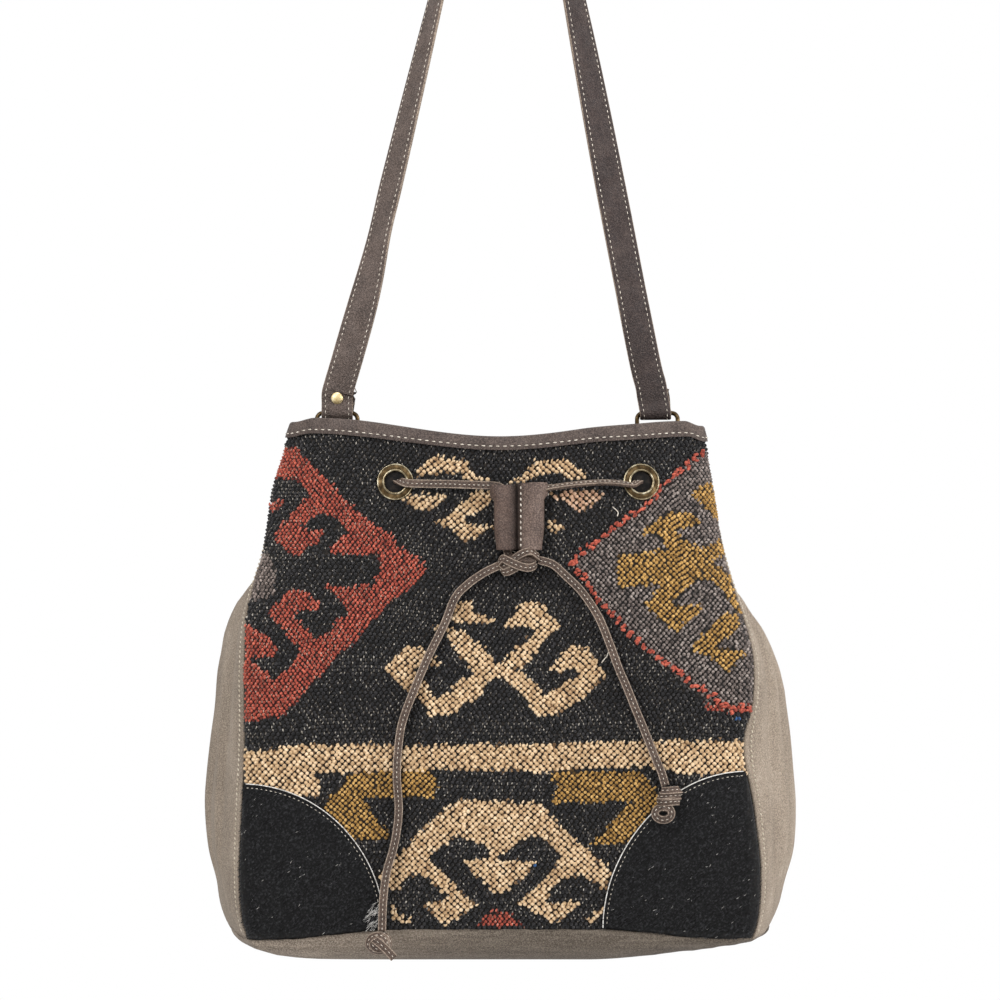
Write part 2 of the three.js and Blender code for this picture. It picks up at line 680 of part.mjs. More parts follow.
function lining() {
  const builder = new SolidBuilder();
  const wall = (thickness) => LINING_LEVELS.map((v) => stations.map((_, index) => {
    const slack = LINING_SLACK * (1 - ease(SLACK_ENDS_FROM, SLACK_ENDS_TO, v));
    const depth = wallDepth(index) - LINING_THICKNESS + slack + thickness;
    const point = wallPoint(index, v, depth);
    return v === 0 ? point.setZ(point.z + LINING_FOOT_RISE + thickness) : point;
  }));
  const floor = (thickness) => [0.7, 0.9].map((share) => stations.map((_, index) => {
    const edge = wall(thickness)[0][index];
    const bottom = BASE_UNDERSIDE + LINING_FLOOR + thickness;
    const rise = ((share - 0.7) / 0.3) ** 2;
    return new THREE.Vector3(edge.x * share, edge.y * share, mix(bottom, edge.z, rise));
  }));
  const close = (grid) => grid.map((row) => [...row, row[0]]);
  const outer = close(builder.addGrid([...floor(0), ...wall(0)]));
  const inner = close(builder.addGrid([...floor(LINING_THICKNESS), ...wall(LINING_THICKNESS)]));
  const lowCentre = builder.add(new THREE.Vector3(0, 0, BASE_UNDERSIDE + LINING_FLOOR));
  const highCentre = builder.add(new THREE.Vector3(0, 0, BASE_UNDERSIDE + LINING_FLOOR + LINING_THICKNESS));
  builder.surface(outer, false);
  builder.surface(inner, true);
  builder.zip(outer[outer.length - 1], inner[inner.length - 1], true);
  for (let index = 0; index < COUNT; index += 1) {
    builder.triangles.push([lowCentre, outer[0][index + 1], outer[0][index]]);
    builder.triangles.push([highCentre, inner[0][index], inner[0][index + 1]]);
  }
  return cut(builder.build(), eyelets.map(eyeletCutter));
}

addPart(bag, 'lining', lining(), COLOURS.lining, CLOTH);

// A closed band along the rim: a pair of faces at equal margins from the walls, from a lower row to a top row
function rimBand(margin, rowsAt) {
  const builder = new SolidBuilder();
  const outer = builder.addGrid(rowsAt((_, inset) => inset - margin)).map((row) => [...row, row[0]]);
  const inner = builder.addGrid(rowsAt((index, inset) => wallDepth(index) + margin - inset)).map((row) => [...row, row[0]]);
  const last = outer.length - 1;
  builder.surface(outer, false);
  builder.surface(inner, true);
  builder.zip(outer[0], inner[0], false);
  for (let index = 0; index < COUNT; index += 1) {
    const [a, b] = [outer[last][index], inner[last][index]];
    const [nextA, nextB] = [outer[last][index + 1], inner[last][index + 1]];
    const falls = builder.points[a].z >= builder.points[nextA].z;
    if (falls) builder.triangles.push([a, nextA, b], [nextA, nextB, b]);
    else builder.triangles.push([a, nextB, b], [a, nextA, nextB]);
  }
  return builder.build();
}

// Rows of a band that follows the walls and ends a little above them, with an optional bevel at the top
function wallRowsTo(rise, bevel) {
  return (depthOf) => {
    const at = (v, inset, lift) => stations.map((_, index) => {
      const point = wallPoint(index, v, depthOf(index, inset));
      return point.setZ(point.z + lift);
    });
    const rows = [at((WALL_ROWS - 1) / WALL_ROWS, 0, 0), at(1, 0, 0)];
    rows.push(at(1, 0, rise - bevel));
    if (bevel > 0) rows.push(at(1, bevel, rise));
    return rows;
  };
}

// Rows of a band that ends at the lower edge of the binding
function rowsBelowBinding(depthOf) {
  const lower = stations.map((_, index) => wallPoint(index, (WALL_ROWS - 2) / WALL_ROWS, depthOf(index, 0)));
  const edge = stations.map((station, index) => {
    const below = BINDING_DEPTH / (station.rim - station.foot);
    return wallChord(index, 1 - below, depthOf(index, 0)).setZ(wallPoint(index, 1, 0).z - BINDING_DEPTH);
  });
  const waist = stations.map((_, index) => wallPoint(index, (WALL_ROWS - 1) / WALL_ROWS, depthOf(index, 0)));
  return [lower, waist, edge];
}

// Mouth binding: one leather strip folded over the rim all the way round
function mouthBinding() {
  const skin = BINDING_PLAY + LEATHER_THICKNESS;
  const whole = rimBand(skin, wallRowsTo(skin, 0.7));
  return mainPiece(cut(whole, [
    rimBand(BINDING_PLAY, wallRowsTo(BINDING_PLAY, 0)), rimBand(skin + 1, rowsBelowBinding),
  ]));
}

addPart(bag, 'mouth_binding', mouthBinding(), COLOURS.leather, LEATHER);

// Corner patches: a thin layer over the rug panel, trimmed to a quarter ellipse
function cornerPatch(patch) {
  const rows = levelShares().slice(0, 6);
  const near = rows.map((v) => wallRow(spans.front, v, -PATCH_STANDOFF));
  const far = rows.map((v) => wallRow(spans.front, v, -PATCH_STANDOFF - PATCH_THICKNESS));
  const layer = sheetSolid(far, near);
  const outline = new THREE.Shape();
  const middle = 60;
  const edgeAt = (height) => seamX(height, patch.side) - PATCH_EDGE_MARGIN;
  const footAt = (x) => panelFoot(x) + PATCH_EDGE_MARGIN;
  const topHeight = CORNER_SEAM_HEIGHT + patch.rise;
  const innerX = edgeAt(middle) - patch.reach;
  const steps = 10;
  for (let step = 0; step <= steps; step += 1) {
    const angle = (step / steps) * Math.PI / 2;
    const height = footAt(innerX) + (topHeight - footAt(innerX)) * Math.sin(angle);
    const x = edgeAt(height) - (edgeAt(height) - innerX) * Math.cos(angle);
    if (step === 0) outline.moveTo(patch.side * x, height);
    else outline.lineTo(patch.side * x, height);
  }
  for (const share of [0.75, 0.5, 0.25, 0]) {
    const height = mix(footAt(edgeAt(middle)), topHeight, share);
    outline.lineTo(patch.side * edgeAt(height), height);
  }
  for (const share of [0.3, 0.6]) {
    const x = mix(edgeAt(CORNER_SEAM_HEIGHT), innerX, share);
    outline.lineTo(patch.side * x, footAt(x));
  }
  const prism = new THREE.ExtrudeGeometry(outline, { depth: 2 * BAG_HALF_DEPTH, bevelEnabled: false });
  prism.rotateX(Math.PI / 2);
  return overlapOf(layer, prism);
}

for (const patch of patches) {
  addPart(bag, `corner_patch_${patch.side < 0 ? 'left' : 'right'}`, cornerPatch(patch), COLOURS.hide, CLOTH);
}

// Eyelets: a domed flange outside, a barrel through the wall and a curl that grips the washer inside
function eyeletGeometry(eyelet) {
  const inside = eyelet.wall + CLEARANCE + LINING_THICKNESS + WASHER_STANDOFF + WASHER_THICKNESS + CLEARANCE;
  const curl = BARREL_RADIUS + 1.6;
  const outline = [
    [EYELET_HOLE_RADIUS, EYELET_STANDOFF + 0.4], [EYELET_HOLE_RADIUS, -inside - 0.8], [curl, -inside - 0.8],
    [curl, -inside], [BARREL_RADIUS, -inside], [BARREL_RADIUS, EYELET_STANDOFF],
    [EYELET_FLANGE_RADIUS, EYELET_STANDOFF], [EYELET_FLANGE_RADIUS - 1, EYELET_FLANGE_RISE],
    [EYELET_HOLE_RADIUS + 1.8, EYELET_FLANGE_RISE], [EYELET_HOLE_RADIUS, EYELET_STANDOFF + 0.4],
  ].map(([radius, rise]) => new THREE.Vector2(radius, rise));
  return seat(new THREE.LatheGeometry(outline, EYELET_SEGMENTS), eyelet.point, eyelet.outward);
}

function washerGeometry(eyelet) {
  const start = -(eyelet.wall + CLEARANCE + LINING_THICKNESS + WASHER_STANDOFF);
  const hole = BARREL_RADIUS + CLEARANCE;
  const outline = [
    [hole, start - WASHER_THICKNESS], [EYELET_FLANGE_RADIUS, start - WASHER_THICKNESS],
    [EYELET_FLANGE_RADIUS, start], [hole, start], [hole, start - WASHER_THICKNESS],
  ].map(([radius, rise]) => new THREE.Vector2(radius, rise));
  return seat(new THREE.LatheGeometry(outline, EYELET_SEGMENTS), eyelet.point, eyelet.outward);
}

for (const eyelet of eyelets) {
  addPart(bag, `eyelet_${eyelet.name}`, eyeletGeometry(eyelet), COLOURS.antiqueBrass, METAL);
  addPart(bag, `eyelet_washer_${eyelet.name}`, washerGeometry(eyelet), COLOURS.antiqueBrass, METAL);
}

// D-rings: bent wire with a straight foot bar in the tab and a broad bow through the strap's end loop
const RING_BAR_HEIGHT = RIM_CORNER_HEIGHT - RIM_DIP_AT_TABS + RING_BAR_ABOVE_RIM;
const STRAP_BAR_HEIGHT = RING_BAR_HEIGHT + RING_HEIGHT - RING_WIRE;
const WIRE_RADIUS = RING_WIRE / 2;

function ringOutline(shape, inset) {
  const half = RING_WIDTH / 2 - inset;
  const foot = RING_BAR_HEIGHT - WIRE_RADIUS + inset;
  const top = RING_BAR_HEIGHT + RING_HEIGHT - WIRE_RADIUS - inset;
  const footRadius = Math.max(0.5, RING_FOOT_RADIUS - inset);
  const topRadius = Math.max(0.5, RING_TOP_RADIUS - inset);
  shape.moveTo(-half + footRadius, foot);
  shape.lineTo(half - footRadius, foot);
  shape.absarc(half - footRadius, foot + footRadius, footRadius, -Math.PI / 2, 0, false);
  shape.lineTo(half, top - topRadius);
  shape.absarc(half - topRadius, top - topRadius, topRadius, 0, Math.PI / 2, false);
  shape.lineTo(-half + topRadius, top);
  shape.absarc(-half + topRadius, top - topRadius, topRadius, Math.PI / 2, Math.PI, false);
  shape.lineTo(-half, foot + footRadius);
  shape.absarc(-half + footRadius, foot + footRadius, footRadius, Math.PI, 1.5 * Math.PI, false);
  return shape;
}

function ringGeometry(x) {
  const bevel = WIRE_RADIUS * 0.58;
  const outline = ringOutline(new THREE.Shape(), bevel);
  outline.holes.push(ringOutline(new THREE.Path(), RING_WIRE - bevel));
  const depth = RING_WIRE - 2 * bevel;
  const geometry = new THREE.ExtrudeGeometry(outline, {
    depth, bevelThickness: bevel, bevelSize: bevel, bevelSegments: 1, curveSegments: 4,
  });
  geometry.translate(0, 0, -depth / 2);
  return geometry.rotateX(Math.PI / 2).translate(x, 0, 0);
}

// Ring tabs: a folded leather strip that goes over the ring's foot bar and down both faces of the fin
function tabOutline(barHeight) {
  const bore = WIRE_RADIUS + RING_PLAY;
  const crown = bore + TAB_LEATHER;
  const layers = CANVAS_THICKNESS + LINING_THICKNESS + LEATHER_THICKNESS;
  const inside = FIN_HALF_GAP + FIN_SPREAD + layers + BINDING_PLAY + 3 * CLEARANCE;
  const outside = inside + TAB_LEATHER;
  const shoulder = barHeight - RING_BAR_ABOVE_RIM + 1;
  const foot = shoulder - TAB_DROP;
  const outline = new THREE.Shape();
  outline.moveTo(-outside, foot);
  outline.lineTo(-outside, shoulder);
  outline.quadraticCurveTo(-outside, shoulder + 4, -crown - 0.6, barHeight - 4);
  outline.lineTo(-crown, barHeight);
  outline.absarc(0, barHeight, crown, Math.PI, 0, true);
  outline.lineTo(crown + 0.6, barHeight - 4);
  outline.quadraticCurveTo(outside, shoulder + 4, outside, shoulder);
  outline.lineTo(outside, foot);
  outline.lineTo(inside, foot);
  outline.lineTo(inside, shoulder);
  outline.quadraticCurveTo(inside, shoulder + 3, bore + 0.5, barHeight - 4.5);
  outline.lineTo(bore, barHeight);
  outline.absarc(0, barHeight, bore, 0, Math.PI, false);
  outline.lineTo(-bore - 0.5, barHeight - 4.5);
  outline.quadraticCurveTo(-inside, shoulder + 3, -inside, shoulder);
  outline.lineTo(-inside, foot);
  outline.closePath();
  return outline;
}

// A profile drawn as (y, z) and carried along X, centred on x
function alongX(outline, width, x) {
  const geometry = new THREE.ExtrudeGeometry(outline, { depth: width, bevelEnabled: false, curveSegments: 8 });
  geometry.translate(0, 0, -width / 2);
  const turn = new THREE.Matrix4().makeBasis(
    new THREE.Vector3(0, 1, 0), new THREE.Vector3(0, 0, 1), new THREE.Vector3(1, 0, 0));
  return geometry.applyMatrix4(turn).translate(x, 0, 0);
}

const rings = [{ side: 'left', x: RING_LEFT_X }, { side: 'right', x: RING_RIGHT_X }];
for (const ring of rings) {
  addPart(bag, `d_ring_${ring.side}`, ringGeometry(ring.x), COLOURS.antiqueBrass, METAL);
  addPart(bag, `ring_tab_${ring.side}`, alongX(tabOutline(RING_BAR_HEIGHT), TAB_WIDTH, ring.x), COLOURS.leather, LEATHER);
}

// Shoulder strap: an end loop round each ring and two legs that turn edge-on towards the hang point
const LAYER_GAP = CLEARANCE / 2;
const FRONT_LAYER_Y = -(LAYER_GAP + STRAP_THICKNESS / 2);

function strapLoopOutline() {
  const bar = STRAP_BAR_HEIGHT;
  const bore = WIRE_RADIUS + RING_PLAY;
  const turn = bore + STRAP_THICKNESS;
  const outer = LAYER_GAP + STRAP_THICKNESS;
  const outline = new THREE.Shape();
  outline.moveTo(-outer, bar + STRAP_OVERLAP - 1);
  outline.lineTo(-outer, bar + 5);
  outline.quadraticCurveTo(-turn, bar + 3, -turn, bar);
  outline.absarc(0, bar, turn, Math.PI, 2 * Math.PI, false);
  outline.quadraticCurveTo(turn, bar + 3, outer, bar + 5);
  outline.lineTo(outer, bar + STRAP_OVERLAP);
  outline.lineTo(LAYER_GAP, bar + STRAP_OVERLAP);
  outline.lineTo(LAYER_GAP, bar + 4);
  outline.quadraticCurveTo(bore, bar + 2, bore, bar);
  outline.absarc(0, bar, bore, 2 * Math.PI, Math.PI, true);
  outline.quadraticCurveTo(-bore, bar + 2, -LAYER_GAP, bar + 4);
  outline.lineTo(-LAYER_GAP, bar + STRAP_OVERLAP - 1);
  outline.closePath();
  return outline;
}

// Centre line of the strap in the bag's frame; the turn is 0 with the face to the front, 90 at the top
const APEX_X = APEX_OFFSET;
const APEX_HEIGHT = HANG_HEIGHT + STRAP_THICKNESS / 2;
const LEG_START = STRAP_BAR_HEIGHT + STRAP_OVERLAP - 2;
const STRAP_STEPS = 64;

function strapPath() {
  const rise = APEX_HEIGHT - LEG_START;
  const leftX = (share, lean) => mix(RING_LEFT_X, APEX_X, share) + lean;
  const rightX = (share, lean) => mix(RING_RIGHT_X, APEX_X, share) + lean;
  const at = (x, share, y) => new THREE.Vector3(x, y, LEG_START + rise * share);
  const arc = STRAP_TURN_RADIUS;
  return new THREE.CatmullRomCurve3([
    at(RING_LEFT_X, 0, FRONT_LAYER_Y), at(RING_LEFT_X, 0.012, FRONT_LAYER_Y),
    at(leftX(0.06, -1), 0.06, FRONT_LAYER_Y), at(leftX(0.28, -1), 0.28, -1), at(leftX(0.56, -0.5), 0.56, -0.6),
    at(leftX(0.8, -1), 0.8, -0.3), at(APEX_X - arc * 1.25, 0.94, 0), at(APEX_X - arc * 0.7, 0.985, 0),
    at(APEX_X, 1, 0),
    at(APEX_X + arc * 0.7, 0.985, 0), at(APEX_X + arc * 1.25, 0.94, 0), at(rightX(0.8, -1.5), 0.8, -0.3),
    at(rightX(0.56, -1.5), 0.56, -0.6), at(rightX(0.28, -3), 0.28, -1), at(rightX(0.06, -2), 0.06, FRONT_LAYER_Y),
    at(RING_RIGHT_X, 0.012, FRONT_LAYER_Y), at(RING_RIGHT_X, 0, FRONT_LAYER_Y),
  ], false, 'centripetal');
}

const leftTurn = profile([[0, 0], [0.1, 0.12], [0.22, 0.5], [0.3, 0.5], [0.56, 0.69], [0.85, 1], [1, 1]]);
const rightTurn = profile([[0, 0], [0.12, 0.14], [0.28, 0.16], [0.56, 0.5], [0.85, 1], [1, 1]]);

function strapRibbon() {
  const path = strapPath();
  const sections = [];
  for (let step = 0; step <= STRAP_STEPS; step += 1) {
    const u = step / STRAP_STEPS;
    const centre = path.getPoint(u);
    const along = path.getTangent(u);
    const share = (centre.z - LEG_START) / (APEX_HEIGHT - LEG_START);
    const turn = (u < 0.5 ? leftTurn(share) : rightTurn(share)) * Math.PI / 2;
    const flat = new THREE.Vector3(along.z, 0, -along.x).normalize();
    const width = flat.multiplyScalar(Math.cos(turn)).add(new THREE.Vector3(0, -Math.sin(turn), 0));
    const normal = new THREE.Vector3().crossVectors(width, along).normalize();
    const halfWidth = width.multiplyScalar(STRAP_WIDTH / 2);
    const halfThick = normal.multiplyScalar(STRAP_THICKNESS / 2);
    sections.push([[1, 1], [-1, 1], [-1, -1], [1, -1]].map(([a, b]) => (
      centre.clone().addScaledVector(halfWidth, a).addScaledVector(halfThick, b))));
  }
  return sweepSolid(sections, false);
}

function rivetHole() {
  const hole = new THREE.CylinderGeometry(RIVET_SHANK_RADIUS + CLEARANCE, RIVET_SHANK_RADIUS + CLEARANCE, 20, 12);
  return hole.translate(RING_LEFT_X, 0, STRAP_BAR_HEIGHT + RIVET_ABOVE_BAR);
}

function shoulderStrap() {
  const loops = rings.map((ring) => alongX(strapLoopOutline(), STRAP_WIDTH, ring.x));
  const strap = joined(joined(strapRibbon(), loops[0]), loops[1]);
  return cut(strap, [rivetHole()]);
}

addPart(bag, 'shoulder_strap', shoulderStrap(), COLOURS.strap, LEATHER);

// Rivet through both layers of the strap's left end
function rivetPiece(outline, direction) {
  const point = new THREE.Vector3(RING_LEFT_X, 0, STRAP_BAR_HEIGHT + RIVET_ABOVE_BAR);
  const points = outline.map(([radius, rise]) => new THREE.Vector2(radius, rise));
  return seat(new THREE.LatheGeometry(points, 16), point, new THREE.Vector3(0, direction, 0));
}

const layersHalf = LAYER_GAP + STRAP_THICKNESS + CLEARANCE;
addPart(bag, 'rivet_cap', rivetPiece([
  [0, layersHalf], [RIVET_RADIUS, layersHalf], [RIVET_RADIUS, layersHalf + 0.5],
  [RIVET_RADIUS * 0.7, layersHalf + 1.3], [0, layersHalf + 1.6],
], -1), COLOURS.brightBrass, METAL);
addPart(bag, 'rivet_post', rivetPiece([
  [0, -layersHalf + CLEARANCE], [RIVET_SHANK_RADIUS, -layersHalf + CLEARANCE], [RIVET_SHANK_RADIUS, layersHalf],
  [RIVET_RADIUS, layersHalf], [RIVET_RADIUS, layersHalf + 0.6], [0, layersHalf + 1],
], 1), COLOURS.brightBrass, METAL);

// Slider: one leather strip stitched down its middle into two upright tubes
const BORE_DEPTH = SLIDER_FRONT - 2 * SLIDER_WALL + 0.4;

function sliderOutline() {
  const half = SLIDER_WIDTH / 2;
  const seamLine = (SLIDER_LEFT_BORE_X + SLIDER_RIGHT_BORE_X) / 2 - 1;
  const outline = new THREE.Shape();
  outline.moveTo(-half, 0);
  outline.quadraticCurveTo(-half, -SLIDER_FRONT, SLIDER_LEFT_BORE_X, -SLIDER_FRONT);
  outline.quadraticCurveTo(seamLine - 1.5, -SLIDER_FRONT, seamLine, -1.2);
  outline.quadraticCurveTo(seamLine + 1.5, -SLIDER_FRONT, SLIDER_RIGHT_BORE_X, -SLIDER_FRONT);
  outline.quadraticCurveTo(half, -SLIDER_FRONT, half, 0);
  outline.quadraticCurveTo(half, SLIDER_BACK, SLIDER_RIGHT_BORE_X, SLIDER_BACK);
  outline.lineTo(SLIDER_LEFT_BORE_X, SLIDER_BACK);
  outline.quadraticCurveTo(-half, SLIDER_BACK, -half, 0);
  const bores = [
    [SLIDER_LEFT_BORE_X, half + SLIDER_LEFT_BORE_X - SLIDER_WALL - 0.4],
    [SLIDER_RIGHT_BORE_X, half - SLIDER_RIGHT_BORE_X - SLIDER_WALL - 0.4],
  ];
  for (const [x, reach] of bores) {
    const bore = new THREE.Path();
    bore.absellipse(x, -0.6, reach, BORE_DEPTH, 0, 2 * Math.PI, false, 0);
    outline.holes.push(bore);
  }
  return outline;
}

function sliderGeometry() {
  const geometry = new THREE.ExtrudeGeometry(sliderOutline(), {
    depth: SLIDER_HEIGHT, bevelEnabled: false, curveSegments: 6, steps: 1,
  });
  const foot = faceAt(SLIDER_X, SLIDER_TOP - SLIDER_HEIGHT, -1).point;
  const top = faceAt(SLIDER_X, SLIDER_TOP, -1).point;
  const lean = Math.atan2(top.y - foot.y, SLIDER_HEIGHT);
  geometry.rotateX(-lean);
  const standOff = SLIDER_BACK + WEAVE_RELIEF + CLEARANCE + 0.2;
  return geometry.translate(SLIDER_X, foot.y - standOff, SLIDER_TOP - SLIDER_HEIGHT);
}

addPart(bag, 'cord_slider', sliderGeometry(), COLOURS.leather, LEATHER);

// Drawcord: hand-chosen routes as [x, y, z] in the bag's frame
const LOOP_ROUTE = [
  [5.4, -69.4, 263.2], [3.9, -68.5, 270.5], [3.6, -66.6, 288], [3.6, -64.9, 304], [2.6, -64, 311],
  [-3, -63.2, 314.4], [-14, -62.8, 313.4], [-32, -62.4, 311.8], [-46, -62, 311], [-55, -61.6, 310.6],
  [-60, -60.8, 310.4], [-63.8, -57.8, 310.3], [-65.6, -53.6, 310.2], [-66, -46, 310], [-66, -24, 308.6],
  [-66, 0, 308], [-66, 24, 308.6], [-66, 46, 310], [-65.6, 53.6, 310.2], [-63.8, 57.8, 310.3],
  [-60, 60.8, 310.4], [-55, 61.6, 310.6], [-44, 62, 310.4], [-20, 62.2, 309.8], [12, 62.4, 309.6],
  [44, 61.6, 309.8], [66, 60.8, 310], [78, 60, 310], [84.2, 58.2, 310], [87.6, 54.4, 309.9],
  [88.6, 46, 309.6], [85, 28, 309], [79.2, 10, 308.6], [79.2, -10, 308.6], [85, -28, 309],
  [88.6, -46, 309.6], [87.6, -54.4, 309.9], [84.2, -58.4, 310], [78, -60.2, 310.2], [66, -61.4, 310.8],
  [50, -62.2, 312], [36, -63, 313.8],
  [27, -63.2, 314.4], [22.2, -64, 311], [21.1, -64.9, 304], [21.1, -66.6, 288], [20.7, -68.5, 270.5],
  [19.2, -69.4, 263.2],
];
const TAIL_LEFT_ROUTE = [
  [-0.3, -69.4, 257.4], [-10.1, -69.8, 252.6], [-20.2, -70.6, 245.5], [-28.4, -71.4, 236.7],
  [-35.4, -73, 219.6], [-45.5, -75, 199.4], [-54, -76.7, 179.2], [-60.7, -77.9, 161.5],
  [-63.5, -78.7, 148.2], [-65.1, -79.6, 126.7], [-63.8, -79.9, 104.6], [-65.1, -79.9, 90],
  [-67.6, -79.8, 77.4], [-71.4, -79.7, 64.1], [-73.6, -79.5, 47], [-74.4, -79.4, 26.9],
];
const TAIL_RIGHT_ROUTE = [
  [24.3, -70.2, 260.8], [33.5, -69.4, 257.8], [41.7, -70, 250.6], [51.8, -71, 240.5], [61.9, -72.6, 225.3],
  [68.8, -74.2, 209], [74.6, -75.5, 193.1], [80.2, -76.6, 180], [85.3, -77.5, 167.1], [90.2, -78, 155.4],
  [94.8, -78.6, 143.8], [98.6, -79.4, 134.4], [101.6, -80.4, 127.4], [104.2, -81.6, 118.6],
];

function cordGeometry(route, steps) {
  const path = new THREE.CatmullRomCurve3(route.map((point) => new THREE.Vector3(...point)), false, 'centripetal');
  const section = new THREE.Shape();
  section.absarc(0, 0, CORD_DIAMETER / 2, 0, 2 * Math.PI, false);
  return new THREE.ExtrudeGeometry(section, { steps, extrudePath: path, curveSegments: 4 });
}

const CENTRE_KNOT = { centre: [12.3, -71.2, 257.2], radii: [12, 5.2, 7] };
const LEFT_TAIL_KNOT = { centre: [-76, -79.4, 19.6], radii: [8, 6, 7] };
const RIGHT_TAIL_KNOT = { centre: [104.9, -82.6, 107.1], radii: [9, 5.4, 11.5] };

function knotGeometry({ centre, radii }) {
  return new THREE.SphereGeometry(1, 12, 8).scale(...radii).translate(...centre);
}

addPart(bag, 'drawcord_loop', cordGeometry(LOOP_ROUTE, 72), COLOURS.leather, LEATHER);
addPart(bag, 'drawcord_tail_left', cordGeometry(TAIL_LEFT_ROUTE, 26), COLOURS.leather, LEATHER);
addPart(bag, 'drawcord_tail_right', cordGeometry(TAIL_RIGHT_ROUTE, 20), COLOURS.leather, LEATHER);
addPart(bag, 'drawcord_knot', knotGeometry(CENTRE_KNOT), COLOURS.leather, LEATHER);
addPart(bag, 'tail_knot_left', knotGeometry(LEFT_TAIL_KNOT), COLOURS.leather, LEATHER);
addPart(bag, 'tail_knot_right', knotGeometry(RIGHT_TAIL_KNOT), COLOURS.leather, LEATHER);

const part = new THREE.Group();
part.add(bag);

export default part;
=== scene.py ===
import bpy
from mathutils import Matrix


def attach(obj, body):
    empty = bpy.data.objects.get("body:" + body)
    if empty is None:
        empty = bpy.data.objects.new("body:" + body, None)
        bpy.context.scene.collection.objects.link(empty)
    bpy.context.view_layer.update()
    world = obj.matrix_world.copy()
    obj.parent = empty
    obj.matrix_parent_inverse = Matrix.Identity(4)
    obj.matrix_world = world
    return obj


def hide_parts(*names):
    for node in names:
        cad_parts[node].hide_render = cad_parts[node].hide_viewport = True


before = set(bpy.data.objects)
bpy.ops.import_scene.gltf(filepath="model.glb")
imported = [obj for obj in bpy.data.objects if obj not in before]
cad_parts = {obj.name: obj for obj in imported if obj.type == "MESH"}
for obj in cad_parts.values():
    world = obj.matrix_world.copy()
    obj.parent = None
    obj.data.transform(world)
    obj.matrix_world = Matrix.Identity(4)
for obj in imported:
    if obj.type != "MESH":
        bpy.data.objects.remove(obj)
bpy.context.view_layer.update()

import math

import bpy
import numpy as np

# Lengths are in millimetres in the bag's own frame, as in the part's source: X across, Y from front to
# back, Z up from a datum just under the base. make_object turns them into the row's metres.
APEX_X = 9.0
HANG_HEIGHT = 817.0
BAG_TO_ROW = np.array([-APEX_X, 0.0, -HANG_HEIGHT])
rng = np.random.default_rng(7)

# Photograph: size in pixels, millimetres to a pixel at the bag's middle and at its front, the column of the
# bag's middle, eye level and camera distance
FRAME_SIZE = 1000
SCALE_AT_MIDDLE = 0.645
SCALE_AT_FRONT = 0.632
CENTRE_X = 499.5
EYE_LEVEL = 298.6
CAMERA_DISTANCE = 3500.0

# Driving sizes; those that the solids also have are the same as in the part's source
HALF_WIDTH = 189.0
HALF_DEPTH = 76.0
RIM_CORNER = 351.0
RIM_SAG = 12.0
RIM_DIP = 29.0
BASE_UNDERSIDE = 6.0
RUG_THICKNESS = 3.5
CANVAS_THICKNESS = 1.4
LINING_THICKNESS = 0.8
BINDING_DEPTH = 10.0
RING_LEFT_X = -105.0
RING_RIGHT_X = 101.5
RING_BAR = 335.5
STRAP_BAR = 354.7
STRAP_WIDTH = 19.5
STRAP_THICKNESS = 2.4
EYELET_HEIGHT = 310.0
LINING_GAP = 0.3
SEAM_INSET = 4.6
STRAP_LAYER_GAP = 0.15
RING_WIDTH = 29.0
RING_WIRE_RADIUS = 1.4
RING_FOOT_BEND = 2.2
RING_BOW_BEND = 4.0
RING_PLAY = 0.7
EYELET_BORE_RADIUS = 6.75
EYELET_RADIUS = 11.75
EYELET_BARREL_RADIUS = 7.5
TAB_WIDTH = 18.0
TAB_THICKNESS = 1.6
STRAP_STITCH_INSET = 2.3

# Height of the walls' foot at the middle of the front and back, at the corners and at the middle of the sides
FOOT_AT_MIDDLE = 27.0
FOOT_AT_CORNER = 20.0
FOOT_AT_SIDE = 25.0

# The fins that the sides are folded into at the mouth: depth of the outer bend, half thickness, where the
# inner tip lies and how round it is, and the shares of a side at which the tip and the bend begin
FIN_BEND = 14.0
FIN_HALF_THICKNESS = 2.5
FIN_TIP_X = 92.4
FIN_TIP_RADIUS = 2.4
FIN_TIP_SHARE = 0.14
FIN_BEND_SHARE = 0.58

# How the right side's ends and rim differ from the left's
RIGHT_CORNER_LIFT = 7.0
RIGHT_RIM_DROP = 5.0
LEFT_RIM_DROP = 2.5
RIGHT_SEAM_PULL = 8.0
RIGHT_BELLY_PULL = 12.0
CORD_WIDTH = 5.0
CORD_THICKNESS = 2.2

